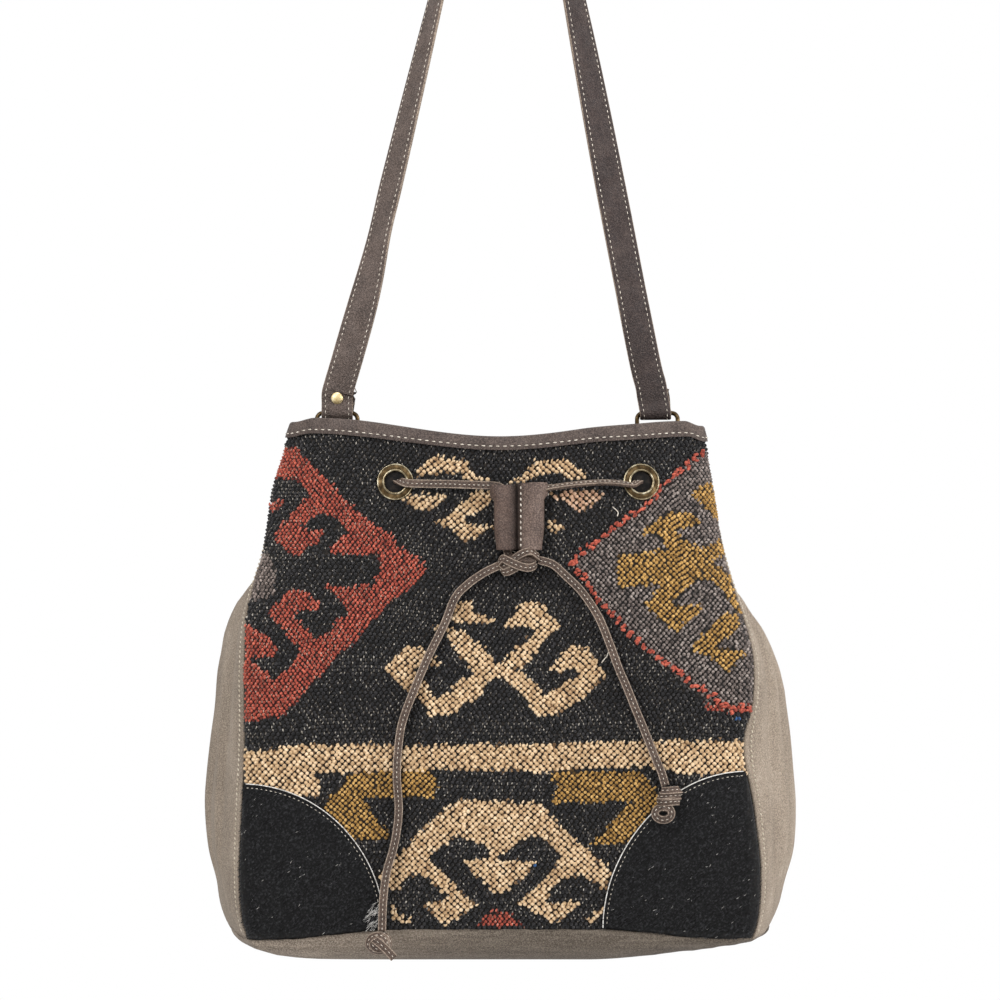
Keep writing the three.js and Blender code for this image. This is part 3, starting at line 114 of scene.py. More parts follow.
# Drawcord routes, as in the part's source; the loop sags a little lower into the slider's open mouth
LOOP_ROUTE = [
    [5.4, -69.4, 263.2], [3.9, -68.5, 270.5], [3.6, -66.6, 288], [3.4, -65.2, 300], [1.2, -64.6, 305.8],
    [-4, -64.2, 307.6], [-14, -63.8, 308], [-32, -63.4, 308.6], [-46, -62.8, 308.8], [-55, -62, 309],
    [-60, -60.8, 309.4], [-63.8, -57.8, 310.3], [-65.6, -53.6, 310.2], [-66, -46, 310], [-66, -24, 308.6],
    [-66, 0, 308], [-66, 24, 308.6], [-66, 46, 310], [-65.6, 53.6, 310.2], [-63.8, 57.8, 310.3],
    [-60, 60.8, 310.4], [-55, 61.6, 310.6], [-44, 62, 310.4], [-20, 62.2, 309.8], [12, 62.4, 309.6],
    [44, 61.6, 309.8], [66, 60.8, 310], [78, 60, 310], [84.2, 58.2, 310], [87.6, 54.4, 309.9],
    [88.6, 46, 309.6], [85, 28, 309], [79.2, 10, 308.6], [79.2, -10, 308.6], [85, -28, 309],
    [88.6, -46, 309.6], [87.6, -54.4, 309.9], [84.2, -58.4, 308], [78, -60.8, 308.8], [66, -62.4, 309.6],
    [50, -63.2, 308.6], [36, -64, 306.8],
    [28, -64.4, 305.6], [23.4, -64.8, 303.8], [21.4, -65.4, 298], [21.1, -66.6, 288], [20.7, -68.5, 270.5],
    [19.2, -69.4, 263.2],
]
TAIL_LEFT_ROUTE = [
    [-0.3, -69.4, 257.4], [-10.1, -69.8, 252.6], [-20.2, -70.6, 245.5], [-28.4, -71.4, 236.7],
    [-35.4, -73, 219.6], [-45.5, -75, 199.4], [-54, -76.7, 179.2], [-60.7, -77.9, 161.5],
    [-63.5, -78.7, 148.2], [-65.1, -79.6, 126.7], [-63.8, -79.9, 104.6], [-65.1, -79.9, 90],
    [-67.6, -79.8, 77.4], [-71.4, -79.7, 64.1], [-73.6, -79.5, 47], [-74.4, -79.4, 26.9],
]
TAIL_RIGHT_ROUTE = [
    [24.3, -70.2, 260.8], [33.5, -69.4, 257.8], [41.7, -70, 250.6], [51.8, -71, 240.5], [61.9, -72.6, 225.3],
    [68.8, -74.2, 209], [74.6, -75.5, 193.1], [80.2, -76.6, 180], [85.3, -77.5, 167.1], [90.2, -78, 155.4],
    [94.8, -78.6, 143.8], [98.6, -79.4, 134.4], [101.6, -80.4, 127.4], [104.2, -81.6, 118.6],
]


# Curves and surfaces of the bag


def profile(keys):
    """Smooth curve through [position, value] pairs, for arrays."""
    xs, ys = np.array(keys, float).T
    before = np.maximum(np.arange(len(xs)) - 1, 0)
    after = np.minimum(np.arange(len(xs)) + 1, len(xs) - 1)
    slopes = (ys[after] - ys[before]) / (xs[after] - xs[before])

    def curve(position):
        p = np.clip(np.asarray(position, float), xs[0], xs[-1])
        k = np.clip(np.searchsorted(xs, p, side="right") - 1, 0, len(xs) - 2)
        span = xs[k + 1] - xs[k]
        u = (p - xs[k]) / span
        start = (2 * u - 3) * u * u + 1
        bend = span * (((u - 2) * u + 1) * u * slopes[k] + (u - 1) * u * u * slopes[k + 1])
        return start * ys[k] + (1 - start) * ys[k + 1] + bend

    return curve


def ease(start, end, value):
    u = np.clip((np.asarray(value, float) - start) / (end - start), 0, 1)
    return u * u * (3 - 2 * u)


def mix(a, b, share):
    return a + (b - a) * share


seam_half_width = profile([
    [0.03, 0.825], [0.085, 0.865], [0.17, 0.876], [0.285, 0.868], [0.413, 0.857], [0.527, 0.86],
    [0.644, 0.852], [0.712, 0.823], [0.746, 0.802], [0.812, 0.78], [0.869, 0.762], [0.94, 0.724], [1, 0.688],
])
belly_half_width = profile([
    [0.03, 0.836], [0.046, 0.868], [0.06, 0.905], [0.105, 0.947], [0.162, 0.968], [0.214, 0.989],
    [0.296, 1], [0.356, 0.995], [0.419, 0.984], [0.476, 0.968], [0.536, 0.955], [0.57, 0.942],
    [0.613, 0.928], [0.647, 0.9], [0.681, 0.864], [0.712, 0.83], [0.746, 0.802], [1, 0.688],
])
seam_depth = profile([
    [0.03, 0.71], [0.17, 0.816], [0.427, 0.816], [0.598, 0.75], [0.684, 0.645], [0.746, 0.54],
    [0.826, 0.395], [0.912, 0.303], [1, 0.263],
])
centre_depth = profile([
    [0.03, 0.816], [0.085, 0.868], [0.17, 0.947], [0.3, 1], [0.456, 0.974], [0.627, 0.908],
    [0.798, 0.816], [1, 0.724],
])
right_seam_pull = profile([
    [0.2, 0], [0.3, 0.375], [0.41, 1], [0.48, 0.3125], [0.56, 0.1875], [0.606, 0.5], [0.644, 0.85],
    [0.7, 1.1], [0.746, 1.05], [0.812, 1.1], [0.869, 1.1], [0.94, 0.75], [1, 0.5],
])
right_belly_pull = profile([
    [0.5, 0], [0.57, 0.25], [0.613, 0.66], [0.647, 1], [0.69, 1], [0.746, 0.7], [0.812, 0.73], [0.869, 0.73],
    [0.94, 0.5], [1, 0.333],
])


def seam_x(height, side):
    share = height / RIM_CORNER
    pull = np.where(np.asarray(side) > 0, RIGHT_SEAM_PULL * right_seam_pull(share), 0)
    return seam_half_width(share) * HALF_WIDTH - pull


def back_seam_x(height, side):
    share = height / RIM_CORNER
    plain = seam_half_width(share) * HALF_WIDTH
    return mix(plain, seam_x(height, side), ease(0.5, 0.6, share))


def panel_point(t, height, face):
    """Front (face -1) or back (face 1) panel: x and y at t, from -1 at the left seam to 1 at the right."""
    share = height / RIM_CORNER
    side = np.where(t < 0, -1, 1)
    u = np.abs(t)
    v = 1 - u
    end_x = seam_x(height, side) if face < 0 else back_seam_x(height, side)
    end_y = seam_depth(share) * HALF_DEPTH
    middle_y = centre_depth(share) * HALF_DEPTH
    corner = ease(0.627, 0.912, share)
    turn_x = end_x + 12 * corner
    turn_y = end_y + 12 + 8 * corner
    x = 3 * v * v * u * 0.62 * end_x + 3 * v * u * u * turn_x + u**3 * end_x
    y = (v**3 + 3 * v * v * u) * middle_y + 3 * v * u * u * turn_y + u**3 * end_y
    return side * x, face * y


def fin_point(s, end_x, end_y):
    """The flat fin that each side is folded into at the mouth."""
    u = np.abs(s)
    sign = np.where(s < 0, -1, 1)
    bend_x = end_x - FIN_BEND
    in_bend, past_tip = u >= FIN_BEND_SHARE, u >= FIN_TIP_SHARE
    bend_angle = np.clip((u - FIN_BEND_SHARE) / (1 - FIN_BEND_SHARE), 0, 1) * math.pi / 2
    share = np.clip((u - FIN_TIP_SHARE) / (FIN_BEND_SHARE - FIN_TIP_SHARE), 0, 1)
    tip_angle = np.clip(u / FIN_TIP_SHARE, 0, 1) * math.pi / 2
    tip_x, tip_y = FIN_TIP_X - FIN_TIP_RADIUS * np.cos(tip_angle), FIN_TIP_RADIUS * np.sin(tip_angle)
    x = np.where(past_tip, mix(FIN_TIP_X, bend_x, share), tip_x)
    x = np.where(in_bend, bend_x + FIN_BEND * np.sin(bend_angle), x)
    y = np.where(past_tip, mix(FIN_TIP_RADIUS, FIN_HALF_THICKNESS, share), tip_y)
    y = np.where(in_bend, end_y - (end_y - FIN_HALF_THICKNESS) * np.cos(bend_angle), y)
    return x, sign * y


def gusset_point(s, height, side):
    share = height / RIM_CORNER
    end_y = seam_depth(share) * HALF_DEPTH
    front_x = seam_x(height, side)
    back_x = back_seam_x(height, side)
    end_x = np.where(s < 0, mix(back_x, front_x, s * s), back_x)
    belly_pull = RIGHT_BELLY_PULL * right_belly_pull(share) if side > 0 else 0
    reach = belly_half_width(share) * HALF_WIDTH - belly_pull - end_x
    x = end_x + reach * (1 - np.abs(s) ** 2.2)
    y = end_y * s
    fin_x, fin_y = fin_point(s, end_x, end_y)
    gather = ease(0.66, 0.86, share)
    return side * mix(x, fin_x, gather), mix(y, fin_y, gather)


def corner_drop(x):
    """The mouth's band softens at its corners, more at the right than at the left."""
    right = RIGHT_RIM_DROP * (0.4 * ease(50, 95, x) + 0.6 * ease(117, 126, x))
    return right + LEFT_RIM_DROP * ease(118, 130, -np.asarray(x))


def panel_rim(x):
    return RIM_CORNER - RIM_SAG + RIM_SAG * ease(0, 0.62 * HALF_WIDTH, np.abs(x)) - corner_drop(x)


def panel_foot(x):
    return FOOT_AT_MIDDLE - (FOOT_AT_MIDDLE - FOOT_AT_CORNER) * ease(60, 150, np.abs(x))


def gusset_rim(s, drop):
    return RIM_CORNER - RIM_DIP * (1 - ease(0.62, 1, np.abs(s))) - drop * ease(0.8, 1, np.abs(s))


def gusset_foot(s):
    return mix(FOOT_AT_SIDE, FOOT_AT_CORNER, ease(0, 1, np.abs(s)))


# The walls as one closed loop of columns: front, right side, back and left side
FRONT_COLUMNS = 161
SIDE_COLUMNS = 79
BACK_COLUMNS = 101
TOP_INSET = 2.0


def wall_columns():
    front_t = np.linspace(-1, 1, FRONT_COLUMNS)
    side_s = np.linspace(-1, 1, SIDE_COLUMNS + 2)[1:-1]
    back_t = np.linspace(1, -1, BACK_COLUMNS)
    kinds = [("front", front_t), ("right", side_s), ("back", back_t), ("left", -side_s)]
    rims, feet, names, values = [], [], [], []
    for name, value in kinds:
        if name in ("front", "back"):
            face = -1 if name == "front" else 1
            rims.append(panel_rim(panel_point(value, np.full_like(value, RIM_CORNER), face)[0]))
            feet.append(panel_foot(panel_point(value, np.full_like(value, FOOT_AT_CORNER), face)[0]))
        else:
            rims.append(gusset_rim(value, RIGHT_RIM_DROP if name == "right" else LEFT_RIM_DROP))
            feet.append(gusset_foot(value))
        names += [name] * len(value)
        values.append(value)
    return np.array(names), np.concatenate(values), np.concatenate(rims), np.concatenate(feet)


NAMES, VALUES, RIMS, FEET = wall_columns()
COLUMNS = len(NAMES)
FRONT = np.arange(0, FRONT_COLUMNS)
RIGHT = np.arange(FRONT_COLUMNS - 1, FRONT_COLUMNS + SIDE_COLUMNS + 1)
BACK = np.arange(FRONT_COLUMNS + SIDE_COLUMNS, FRONT_COLUMNS + SIDE_COLUMNS + BACK_COLUMNS)
LEFT = np.append(np.arange(FRONT_COLUMNS + SIDE_COLUMNS + BACK_COLUMNS - 1, COLUMNS), 0)


def points_at(heights):
    x = np.zeros(COLUMNS)
    y = np.zeros(COLUMNS)
    for name, face in (("front", -1), ("back", 1)):
        k = NAMES == name
        x[k], y[k] = panel_point(VALUES[k], heights[k], face)
    for name, side in (("right", 1), ("left", -1)):
        k = NAMES == name
        x[k], y[k] = gusset_point(VALUES[k], heights[k], side)
    return np.stack([x, y, heights], axis=1)


def loop_level(v):
    """Points round the bag at a share of the wall height, and level inward directions."""
    points = points_at(mix(FEET, RIMS - TOP_INSET, v))
    flat = points[:, :2]
    tangent = np.roll(flat, -1, axis=0) - np.roll(flat, 1, axis=0)
    tangent /= np.linalg.norm(tangent, axis=1)[:, None]
    inward = np.stack([-tangent[:, 1], tangent[:, 0], np.zeros(COLUMNS)], axis=1)
    return points, inward


def wall_grid(columns, levels, depth=0.0):
    """Grid of points over some columns; depth is one number, or one for each column."""
    rows = []
    for v in levels:
        points, inward = loop_level(v)
        offset = depth if np.isscalar(depth) else np.asarray(depth)[:, None]
        rows.append(points[columns] + inward[columns] * offset)
    return np.array(rows)


def wall_depth():
    """Thickness of the wall with its lining, by column."""
    depth = np.full(COLUMNS, CANVAS_THICKNESS + LINING_GAP + LINING_THICKNESS)
    depth[FRONT] = RUG_THICKNESS + LINING_GAP + LINING_THICKNESS
    kernel = np.ones(9) / 9
    padded = np.concatenate([depth[-4:], depth, depth[:4]])
    return np.convolve(padded, kernel, mode="valid")


def face_at(x, height, face):
    """Where an upright line at x meets a panel, and the outward direction there, for arrays."""
    x = np.asarray(x, float)
    height = np.asarray(height, float) + np.zeros_like(x)
    side = np.where(x < 0, -1, 1)
    low, high = np.zeros_like(x), np.full_like(x, 0.9)
    for _ in range(26):
        middle = (low + high) / 2
        inside = np.abs(panel_point(side * middle, height, face)[0]) < np.abs(x)
        low, high = np.where(inside, middle, low), np.where(inside, high, middle)
    t = side * low
    here = panel_point(t, height, face)
    ahead = panel_point(t + 0.02, height, face)
    behind = panel_point(t - 0.02, height, face)
    rise = panel_point(t, height + 1, face)[1] - panel_point(t, height - 1, face)[1]
    across, forward = ahead[0] - behind[0], ahead[1] - behind[1]
    outward = np.stack([-face * forward, face * across, np.zeros_like(x)], axis=-1)
    outward /= np.linalg.norm(outward, axis=-1)[..., None]
    outward[..., 2] = -outward[..., 1] * rise / 2
    outward /= np.linalg.norm(outward, axis=-1)[..., None]
    return np.stack([here[0], here[1], height], axis=-1), outward


# Photograph coordinates


def scale_at(y):
    return SCALE_AT_MIDDLE * (CAMERA_DISTANCE + y) / CAMERA_DISTANCE


def to_photo(points):
    scale = scale_at(points[:, 1])
    px = CENTRE_X + points[:, 0] / scale
    py = FRAME_SIZE / 2 - (points[:, 2] - EYE_LEVEL) / scale
    return np.stack([px, py], axis=1)


def on_front(px, py):
    """Point and outward direction on the front panel behind a place in the photograph."""
    px, py = np.atleast_1d(np.asarray(px, float)), np.atleast_1d(np.asarray(py, float))
    scale = np.full(px.shape, SCALE_AT_FRONT)
    for _ in range(3):
        x, z = (px - CENTRE_X) * scale, EYE_LEVEL + (FRAME_SIZE / 2 - py) * scale
        point, outward = face_at(x, z, -1)
        scale = scale_at(point[..., 1])
    return point, outward


def inside_outline(points, outline):
    """Which points lie inside a closed outline."""
    x, y = points[:, 0], points[:, 1]
    found = np.zeros(len(points), bool)
    corners = np.array(outline, float)
    for (x0, y0), (x1, y1) in zip(corners, np.roll(corners, -1, axis=0)):
        crosses = (y0 > y) != (y1 > y)
        with np.errstate(divide="ignore", invalid="ignore"):
            at = (x1 - x0) * (y - y0) / (y1 - y0) + x0
        found ^= crosses & (x < at)
    return found


# Making objects


def make_object(name, points, faces, material, body="bag"):
    mesh = bpy.data.meshes.new(name)
    row_points = (np.asarray(points, float).reshape(-1, 3) + BAG_TO_ROW) / 1000
    mesh.from_pydata(row_points.tolist(), [], faces if isinstance(faces, list) else faces.tolist())
    mesh.polygons.foreach_set("use_smooth", [True] * len(mesh.polygons))
    mesh.materials.append(material)
    mesh.update()
    piece = bpy.data.objects.new(name, mesh)
    bpy.context.scene.collection.objects.link(piece)
    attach(piece, body)
    return piece


def sharpen(piece, angle=40):
    """Smooth shading that keeps edges sharper than an angle, in degrees."""
    piece.data.set_sharp_from_angle(angle=math.radians(angle))
    return piece


def grid_faces(rows, columns, start=0, closed=False, flip=False):
    r = np.arange(rows - 1)[:, None]
    c = np.arange(columns if closed else columns - 1)[None, :]
    following = (c + 1) % columns
    a, b = start + r * columns + c, start + r * columns + following
    d, e = start + (r + 1) * columns + following, start + (r + 1) * columns + c
    quads = np.stack([a, b, d, e], axis=-1).reshape(-1, 4)
    return quads[:, ::-1] if flip else quads


def ring_faces(rows, columns):
    """Faces of a grid that closes on itself both ways."""
    last = (rows - 1) * columns
    wrap = [[last + c, last + (c + 1) % columns, (c + 1) % columns, c] for c in range(columns)]
    return np.vstack([grid_faces(rows, columns, 0, True), np.array(wrap)])


def grid_normals(grid):
    return unit(np.cross(np.gradient(grid, axis=1), np.gradient(grid, axis=0)))


def shell(name, outer, inner, material, body="bag", closed=False):
    """A closed sheet between two grids over the same columns."""
    rows, columns = outer.shape[:2]
    count = rows * columns
    faces = [grid_faces(rows, columns, 0, closed), grid_faces(rows, columns, count, closed, flip=True)]
    top = (rows - 1) * columns
    span = np.arange(columns if closed else columns - 1)
    following = (span + 1) % columns
    faces.append(np.stack([span, count + span, count + following, following], axis=1))
    faces.append(np.stack([top + span, top + following, count + top + following, count + top + span], axis=1))
    if not closed:
        rise = np.arange(rows - 1) * columns
        faces.append(np.stack([rise, rise + columns, count + rise + columns, count + rise], axis=1))
        right = rise + columns - 1
        faces.append(np.stack([right, count + right, count + right + columns, right + columns], axis=1))
    points = np.concatenate([outer.reshape(-1, 3), inner.reshape(-1, 3)])
    return make_object(name, points, np.concatenate(faces), material, body)


def curve_points(route, count):
    """Evenly spaced points on a smooth curve through a route."""
    keys = np.array(route, float)
    padded = np.vstack([2 * keys[0] - keys[1], keys, 2 * keys[-1] - keys[-2]])
    dense = []
    for k in range(1, len(padded) - 2):
        p0, p1, p2, p3 = padded[k - 1:k + 3]
        t = np.linspace(0, 1, 16, endpoint=False)[:, None]
        dense.append(0.5 * (2 * p1 + (p2 - p0) * t + (2 * p0 - 5 * p1 + 4 * p2 - p3) * t**2
                            + (3 * p1 - p0 - 3 * p2 + p3) * t**3))
    dense = np.vstack(dense + [keys[-1:]])
    return resample(dense, count)


def running_length(points):
    """Length along a line of points up to each of them."""
    return np.concatenate([[0], np.cumsum(np.linalg.norm(np.diff(points, axis=0), axis=1))])


def resample(points, count):
    lengths = running_length(points)
    wanted = np.linspace(0, lengths[-1], count)
    return np.stack([np.interp(wanted, lengths, points[:, axis]) for axis in range(points.shape[1])], axis=1)


def route_length(points):
    return float(np.linalg.norm(np.diff(points, axis=0), axis=1).sum())


def unit(vectors):
    return vectors / np.maximum(np.linalg.norm(vectors, axis=-1)[..., None], 1e-9)


def upright(outward):
    """The steepest direction in each face, and the level direction beside it."""
    rise = unit(np.array([0.0, 0, 1]) - outward * outward[:, 2:3])
    return rise, np.cross(rise, outward)


def frames_along(path, up):
    """Sideways and face directions along a path; up is the wanted face direction."""
    tangent = unit(np.gradient(path, axis=0))
    up = np.broadcast_to(np.asarray(up, float), path.shape)
    face = unit(up - (up * tangent).sum(axis=1)[:, None] * tangent)
    return np.cross(tangent, face), face


def sweep(name, path, up, section, material, body="bag"):
    """Carries a section of (sideways, outward) points along a path."""
    sideways, face = frames_along(path, up)
    outline = np.array(section, float)
    if outline.ndim == 2:
        outline = np.broadcast_to(outline, (len(path),) + outline.shape)
    rings = path[:, None, :] + sideways[:, None, :] * outline[:, :, :1] + face[:, None, :] * outline[:, :, 1:]
    rows, columns = rings.shape[:2]
    faces = grid_faces(rows, columns, 0, True).tolist()
    points = rings.reshape(-1, 3)
    faces.append(list(range(columns))[::-1])
    faces.append([(rows - 1) * columns + k for k in range(columns)])
    return make_object(name, points, faces, material, body)


def band_section(width, thickness, corner=0.5, steps=3):
    """Rounded flat section, as (sideways, outward) points."""
    points = []
    half_w, half_t = width / 2 - corner, thickness / 2 - corner
    corners = ((half_w, half_t, 0), (-half_w, half_t, 90), (-half_w, -half_t, 180), (half_w, -half_t, 270))
    for cx, cy, start in corners:
        for k in range(steps + 1):
            angle = math.radians(start + 90 * k / steps)
            points.append((cx + corner * math.cos(angle), cy + corner * math.sin(angle)))
    return points


def bead_template(sides, rings, depth=1.25):
    """Points and faces of a rounded bead: x along, y across, z outward, each from -1 to 1."""
    points = [(0, 0, 1)]
    for k in range(1, rings + 1):
        angle = math.pi / 2 * k / rings * depth
        for j in range(sides):
            turn = 2 * math.pi * j / sides
            along, across = math.sin(angle) * math.cos(turn), math.sin(angle) * math.sin(turn)
            points.append((along, across, math.cos(angle)))
    faces = [[0, 1 + j, 1 + (j + 1) % sides] for j in range(sides)]
    for k in range(rings - 1):
        a, b = 1 + k * sides, 1 + (k + 1) * sides
        faces += [[a + j, b + j, b + (j + 1) % sides] for j in range(sides)]
        faces += [[a + j, b + (j + 1) % sides, a + (j + 1) % sides] for j in range(sides)]
    return np.array(points, float), np.array(faces)


def scatter(name, template, centres, along, across, outward, sizes, material, slot, body="bag"):
    """One object with a copy of a template at each centre; sizes are along, across and outward."""
    shape, triangles = template
    count = len(centres)
    if count == 0:
        return None
    points = (centres[:, None, :]
              + shape[None, :, 0:1] * along[:, None, :] * sizes[:, None, 0:1]
              + shape[None, :, 1:2] * across[:, None, :] * sizes[:, None, 1:2]
              + shape[None, :, 2:3] * outward[:, None, :] * sizes[:, None, 2:3])
    faces = triangles[None] + (np.arange(count) * len(shape))[:, None, None]
    return make_object(name, points.reshape(-1, 3), faces.reshape(-1, 3), material, body)


STITCH = bead_template(5, 2)


def stitch_line(name, line, outward, pitch, length, width, material, slot, body="bag", slant=0.0, lift=0.0):
    """Thread stitches, one for each pitch, along a line of points with outward directions."""
    total = route_length(line)
    count = max(2, int(total / pitch))
    both = resample(np.hstack([line, outward]), count * 2 + 1)[1::2]
    centres, face = both[:, :3], unit(both[:, 3:])
    along = unit(np.gradient(centres, axis=0))
    across = unit(np.cross(face, along))
    if slant:
        along, across = (unit(along * math.cos(slant) + across * math.sin(slant)),
                         unit(across * math.cos(slant) - along * math.sin(slant)))
    centres = centres + face * lift
    jitter = 1 + rng.uniform(-0.12, 0.12, count)
    sizes = np.stack([length / 2 * jitter, np.full(count, width / 2), np.full(count, width / 2)], axis=1)
    return scatter(name, STITCH, centres, along, across, face, sizes, material, slot, body)


# Materials


def linear(rgb):
    channels = [c / 255 for c in rgb]
    return tuple(c / 12.92 if c <= 0.04045 else ((c + 0.055) / 1.055) ** 2.4 for c in channels) + (1.0,)


class Material:
    """A small helper that builds a procedural material node by node."""

    def __init__(self, name, roughness=0.8, metallic=0.0, specular=0.5):
        self.data = bpy.data.materials.new(name)
        self.data.use_nodes = True
        self.nodes = self.data.node_tree.nodes
        self.links = self.data.node_tree.links
        self.shader = self.nodes["Principled BSDF"]
        self.shader.inputs["Roughness"].default_value = roughness
        self.shader.inputs["Metallic"].default_value = metallic
        self.shader.inputs["Specular IOR Level"].default_value = specular
        self.place = self.nodes.new("ShaderNodeTexCoord").outputs["Object"]

    def mapped(self, scale=(1, 1, 1), rotation=(0, 0, 0)):
        node = self.nodes.new("ShaderNodeMapping")
        node.inputs["Scale"].default_value = scale
        node.inputs["Rotation"].default_value = rotation
        self.links.new(self.place, node.inputs["Vector"])
        return node.outputs["Vector"]

    def noise(self, scale, detail=3.0, roughness=0.55, vector=None):
        node = self.nodes.new("ShaderNodeTexNoise")
        node.inputs["Scale"].default_value = scale
        node.inputs["Detail"].default_value = detail
        node.inputs["Roughness"].default_value = roughness
        self.links.new(vector or self.place, node.inputs["Vector"])
        return node.outputs["Fac"]

    def cells(self, scale):
        node = self.nodes.new("ShaderNodeTexVoronoi")
        node.inputs["Scale"].default_value = scale
        self.links.new(self.place, node.inputs["Vector"])
        return node.outputs["Distance"]

    def ramp(self, value, stops):
        node = self.nodes.new("ShaderNodeValToRGB")
        elements = node.color_ramp.elements
        while len(elements) < len(stops):
            elements.new(0.5)
        for element, (position, colour) in zip(elements, stops):
            element.position = position
            element.color = linear(colour)
        self.links.new(value, node.inputs["Fac"])
        return node.outputs["Color"]

    def blend(self, share, first, second):
        node = self.nodes.new("ShaderNodeMix")
        node.data_type = "RGBA"
        for value, socket in ((share, node.inputs[0]), (first, node.inputs[6]), (second, node.inputs[7])):
            if isinstance(value, bpy.types.NodeSocket):
                self.links.new(value, socket)
            else:
                socket.default_value = value
        return node.outputs[2]

    def scaled(self, value, low, high):
        node = self.nodes.new("ShaderNodeMapRange")
        node.inputs["From Min"].default_value = 0.3
        node.inputs["From Max"].default_value = 0.7
        node.inputs["To Min"].default_value = low
        node.inputs["To Max"].default_value = high
        self.links.new(value, node.inputs["Value"])
        return node.outputs["Result"]

    @classmethod
    def of(cls, data):
        """The helper for a material that is already made."""
        m = cls.__new__(cls)
        m.data = data
        m.nodes = data.node_tree.nodes
        m.links = data.node_tree.links
        m.shader = m.nodes["Principled BSDF"]
        m.place = m.nodes.new("ShaderNodeTexCoord").outputs["Object"]
        return m

    def split_x(self):
        node = self.nodes.new("ShaderNodeSeparateXYZ")
        self.links.new(self.place, node.inputs["Vector"])
        return node.outputs["X"]

    def between(self, value, low, high):
        node = self.nodes.new("ShaderNodeMapRange")
        node.inputs["From Min"].default_value = low
        node.inputs["From Max"].default_value = high
        self.links.new(value, node.inputs["Value"])
        return node.outputs["Result"]

    def multiply_colour(self, factor):
        socket = self.shader.inputs["Base Color"]
        before = socket.links[0].from_socket
        node = self.nodes.new("ShaderNodeMix")
        node.data_type = "RGBA"
        node.blend_type = "MULTIPLY"
        node.inputs[0].default_value = 1.0
        self.links.new(before, node.inputs[6])
        self.links.new(factor, node.inputs[7])
        self.links.new(node.outputs[2], socket)

    def colour(self, socket):
        self.links.new(socket, self.shader.inputs["Base Color"])

    def roughness(self, socket):
        self.links.new(socket, self.shader.inputs["Roughness"])

    def bump(self, value, strength, distance):
        node = self.nodes.new("ShaderNodeBump")
        node.inputs["Strength"].default_value = strength
        node.inputs["Distance"].default_value = distance
        self.links.new(value, node.inputs["Height"])
        earlier = self.shader.inputs["Normal"]
        if earlier.is_linked:
            self.links.new(earlier.links[0].from_socket, node.inputs["Normal"])
        self.links.new(node.outputs["Normal"], earlier)

    def sheen(self, weight):
        self.shader.inputs["Sheen Weight"].default_value = weight
        self.shader.inputs["Sheen Roughness"].default_value = 0.5


def yarn(name, dark, middle, light, scale=330):
    """Wool or jute yarn: tone changes from knot to knot, and a fibrous bump."""
    m = Material(name, roughness=0.88, specular=0.25)
    m.colour(m.ramp(m.noise(scale, 2.0), [(0.3, dark), (0.5, middle), (0.7, light)]))
    m.bump(m.noise(2200, 2.0, vector=m.mapped((1, 1, 0.45), (0, 0.5, 0))), 0.5, 0.0004)
    m.sheen(0.15)
    return m.data


def canvas(name, dark, middle, light, streaks=(1, 1, 0.25), streak_scale=90):
    """Plain canvas: salt and pepper grain, soft streaks and a woven bump."""
    m = Material(name, roughness=0.95, specular=0.12)
    streaky = m.noise(streak_scale, 3.0, vector=m.mapped(streaks))
    blotch = m.ramp(streaky, [(0.3, dark), (0.52, middle), (0.72, light)])
    speckle = m.ramp(m.noise(1250, 2.0, 0.7), [(0.36, dark), (0.5, middle), (0.64, light)])
    m.colour(m.blend(0.68, blotch, speckle))
    m.bump(m.noise(1400, 2.0, 0.7, m.mapped((1, 1, 0.6))), 0.8, 0.0009)
    m.bump(m.noise(150, 3.0, vector=m.mapped((1, 1, 0.3))), 0.35, 0.002)
    m.sheen(0.08)
    return m.data


def leather(name, dark, middle, light, roughness=(0.5, 0.75)):
    """Soft leather: pebbled grain, rubbed patches and uneven shine."""
    m = Material(name, specular=0.3)
    tone = m.ramp(m.noise(70, 4.0), [(0.32, dark), (0.5, middle), (0.68, light)])
    fine = m.ramp(m.noise(1100, 2.0, 0.7), [(0.38, dark), (0.5, middle), (0.62, light)])
    m.colour(m.blend(0.68, tone, fine))
    m.roughness(m.scaled(m.noise(160, 2.0), *roughness))
    m.bump(m.cells(900), 0.6, 0.0006)
    m.bump(m.noise(1300, 2.0, 0.7), 0.6, 0.0006)
    m.bump(m.noise(240, 3.0), 0.3, 0.0008)
    return m.data


def leather_with_painted_groove_shade(name, tones, crease, shade):
    """Leather with painted shade along an upright groove, and a little over the channel left of it; crease is
    the groove's left, middle and right x in metres.
    """
    data = leather(name, *tones)
    m = Material.of(data)
    left, middle, right = crease
    # Painted shade: a ramp over object x, darkest in the groove and a little dark over the left channel
    place = m.split_x()
    painted_groove_shade = m.ramp(m.between(place, left, right), [
        (0.0, (232, 228, 226)), (0.28, (212, 205, 202)), ((middle - left) / (right - left), shade),
        (0.6, (250, 248, 246)), (0.85, (255, 255, 255)),
    ])
    m.multiply_colour(painted_groove_shade)
    return data


def canvas_with_painted_light_ramp(name, tones, ends, shares):
    """Canvas with painted light and shade: its tone changes evenly from one x to another, in metres."""
    data = canvas(name, *tones)
    m = Material.of(data)
    low, high = [tuple(255 * share for _ in range(3)) for share in shares]
    m.multiply_colour(m.ramp(m.between(m.split_x(), *ends), [(0.0, low), (1.0, high)]))
    return data


def brass(name, dark, middle, light, roughness, metallic=1.0):
    m = Material(name, metallic=metallic)
    m.colour(m.ramp(m.noise(260, 4.0), [(0.3, dark), (0.5, middle), (0.7, light)]))
    m.roughness(m.scaled(m.noise(420, 3.0), *roughness))
    m.bump(m.noise(900, 2.0), 0.12, 0.0002)
    return m.data


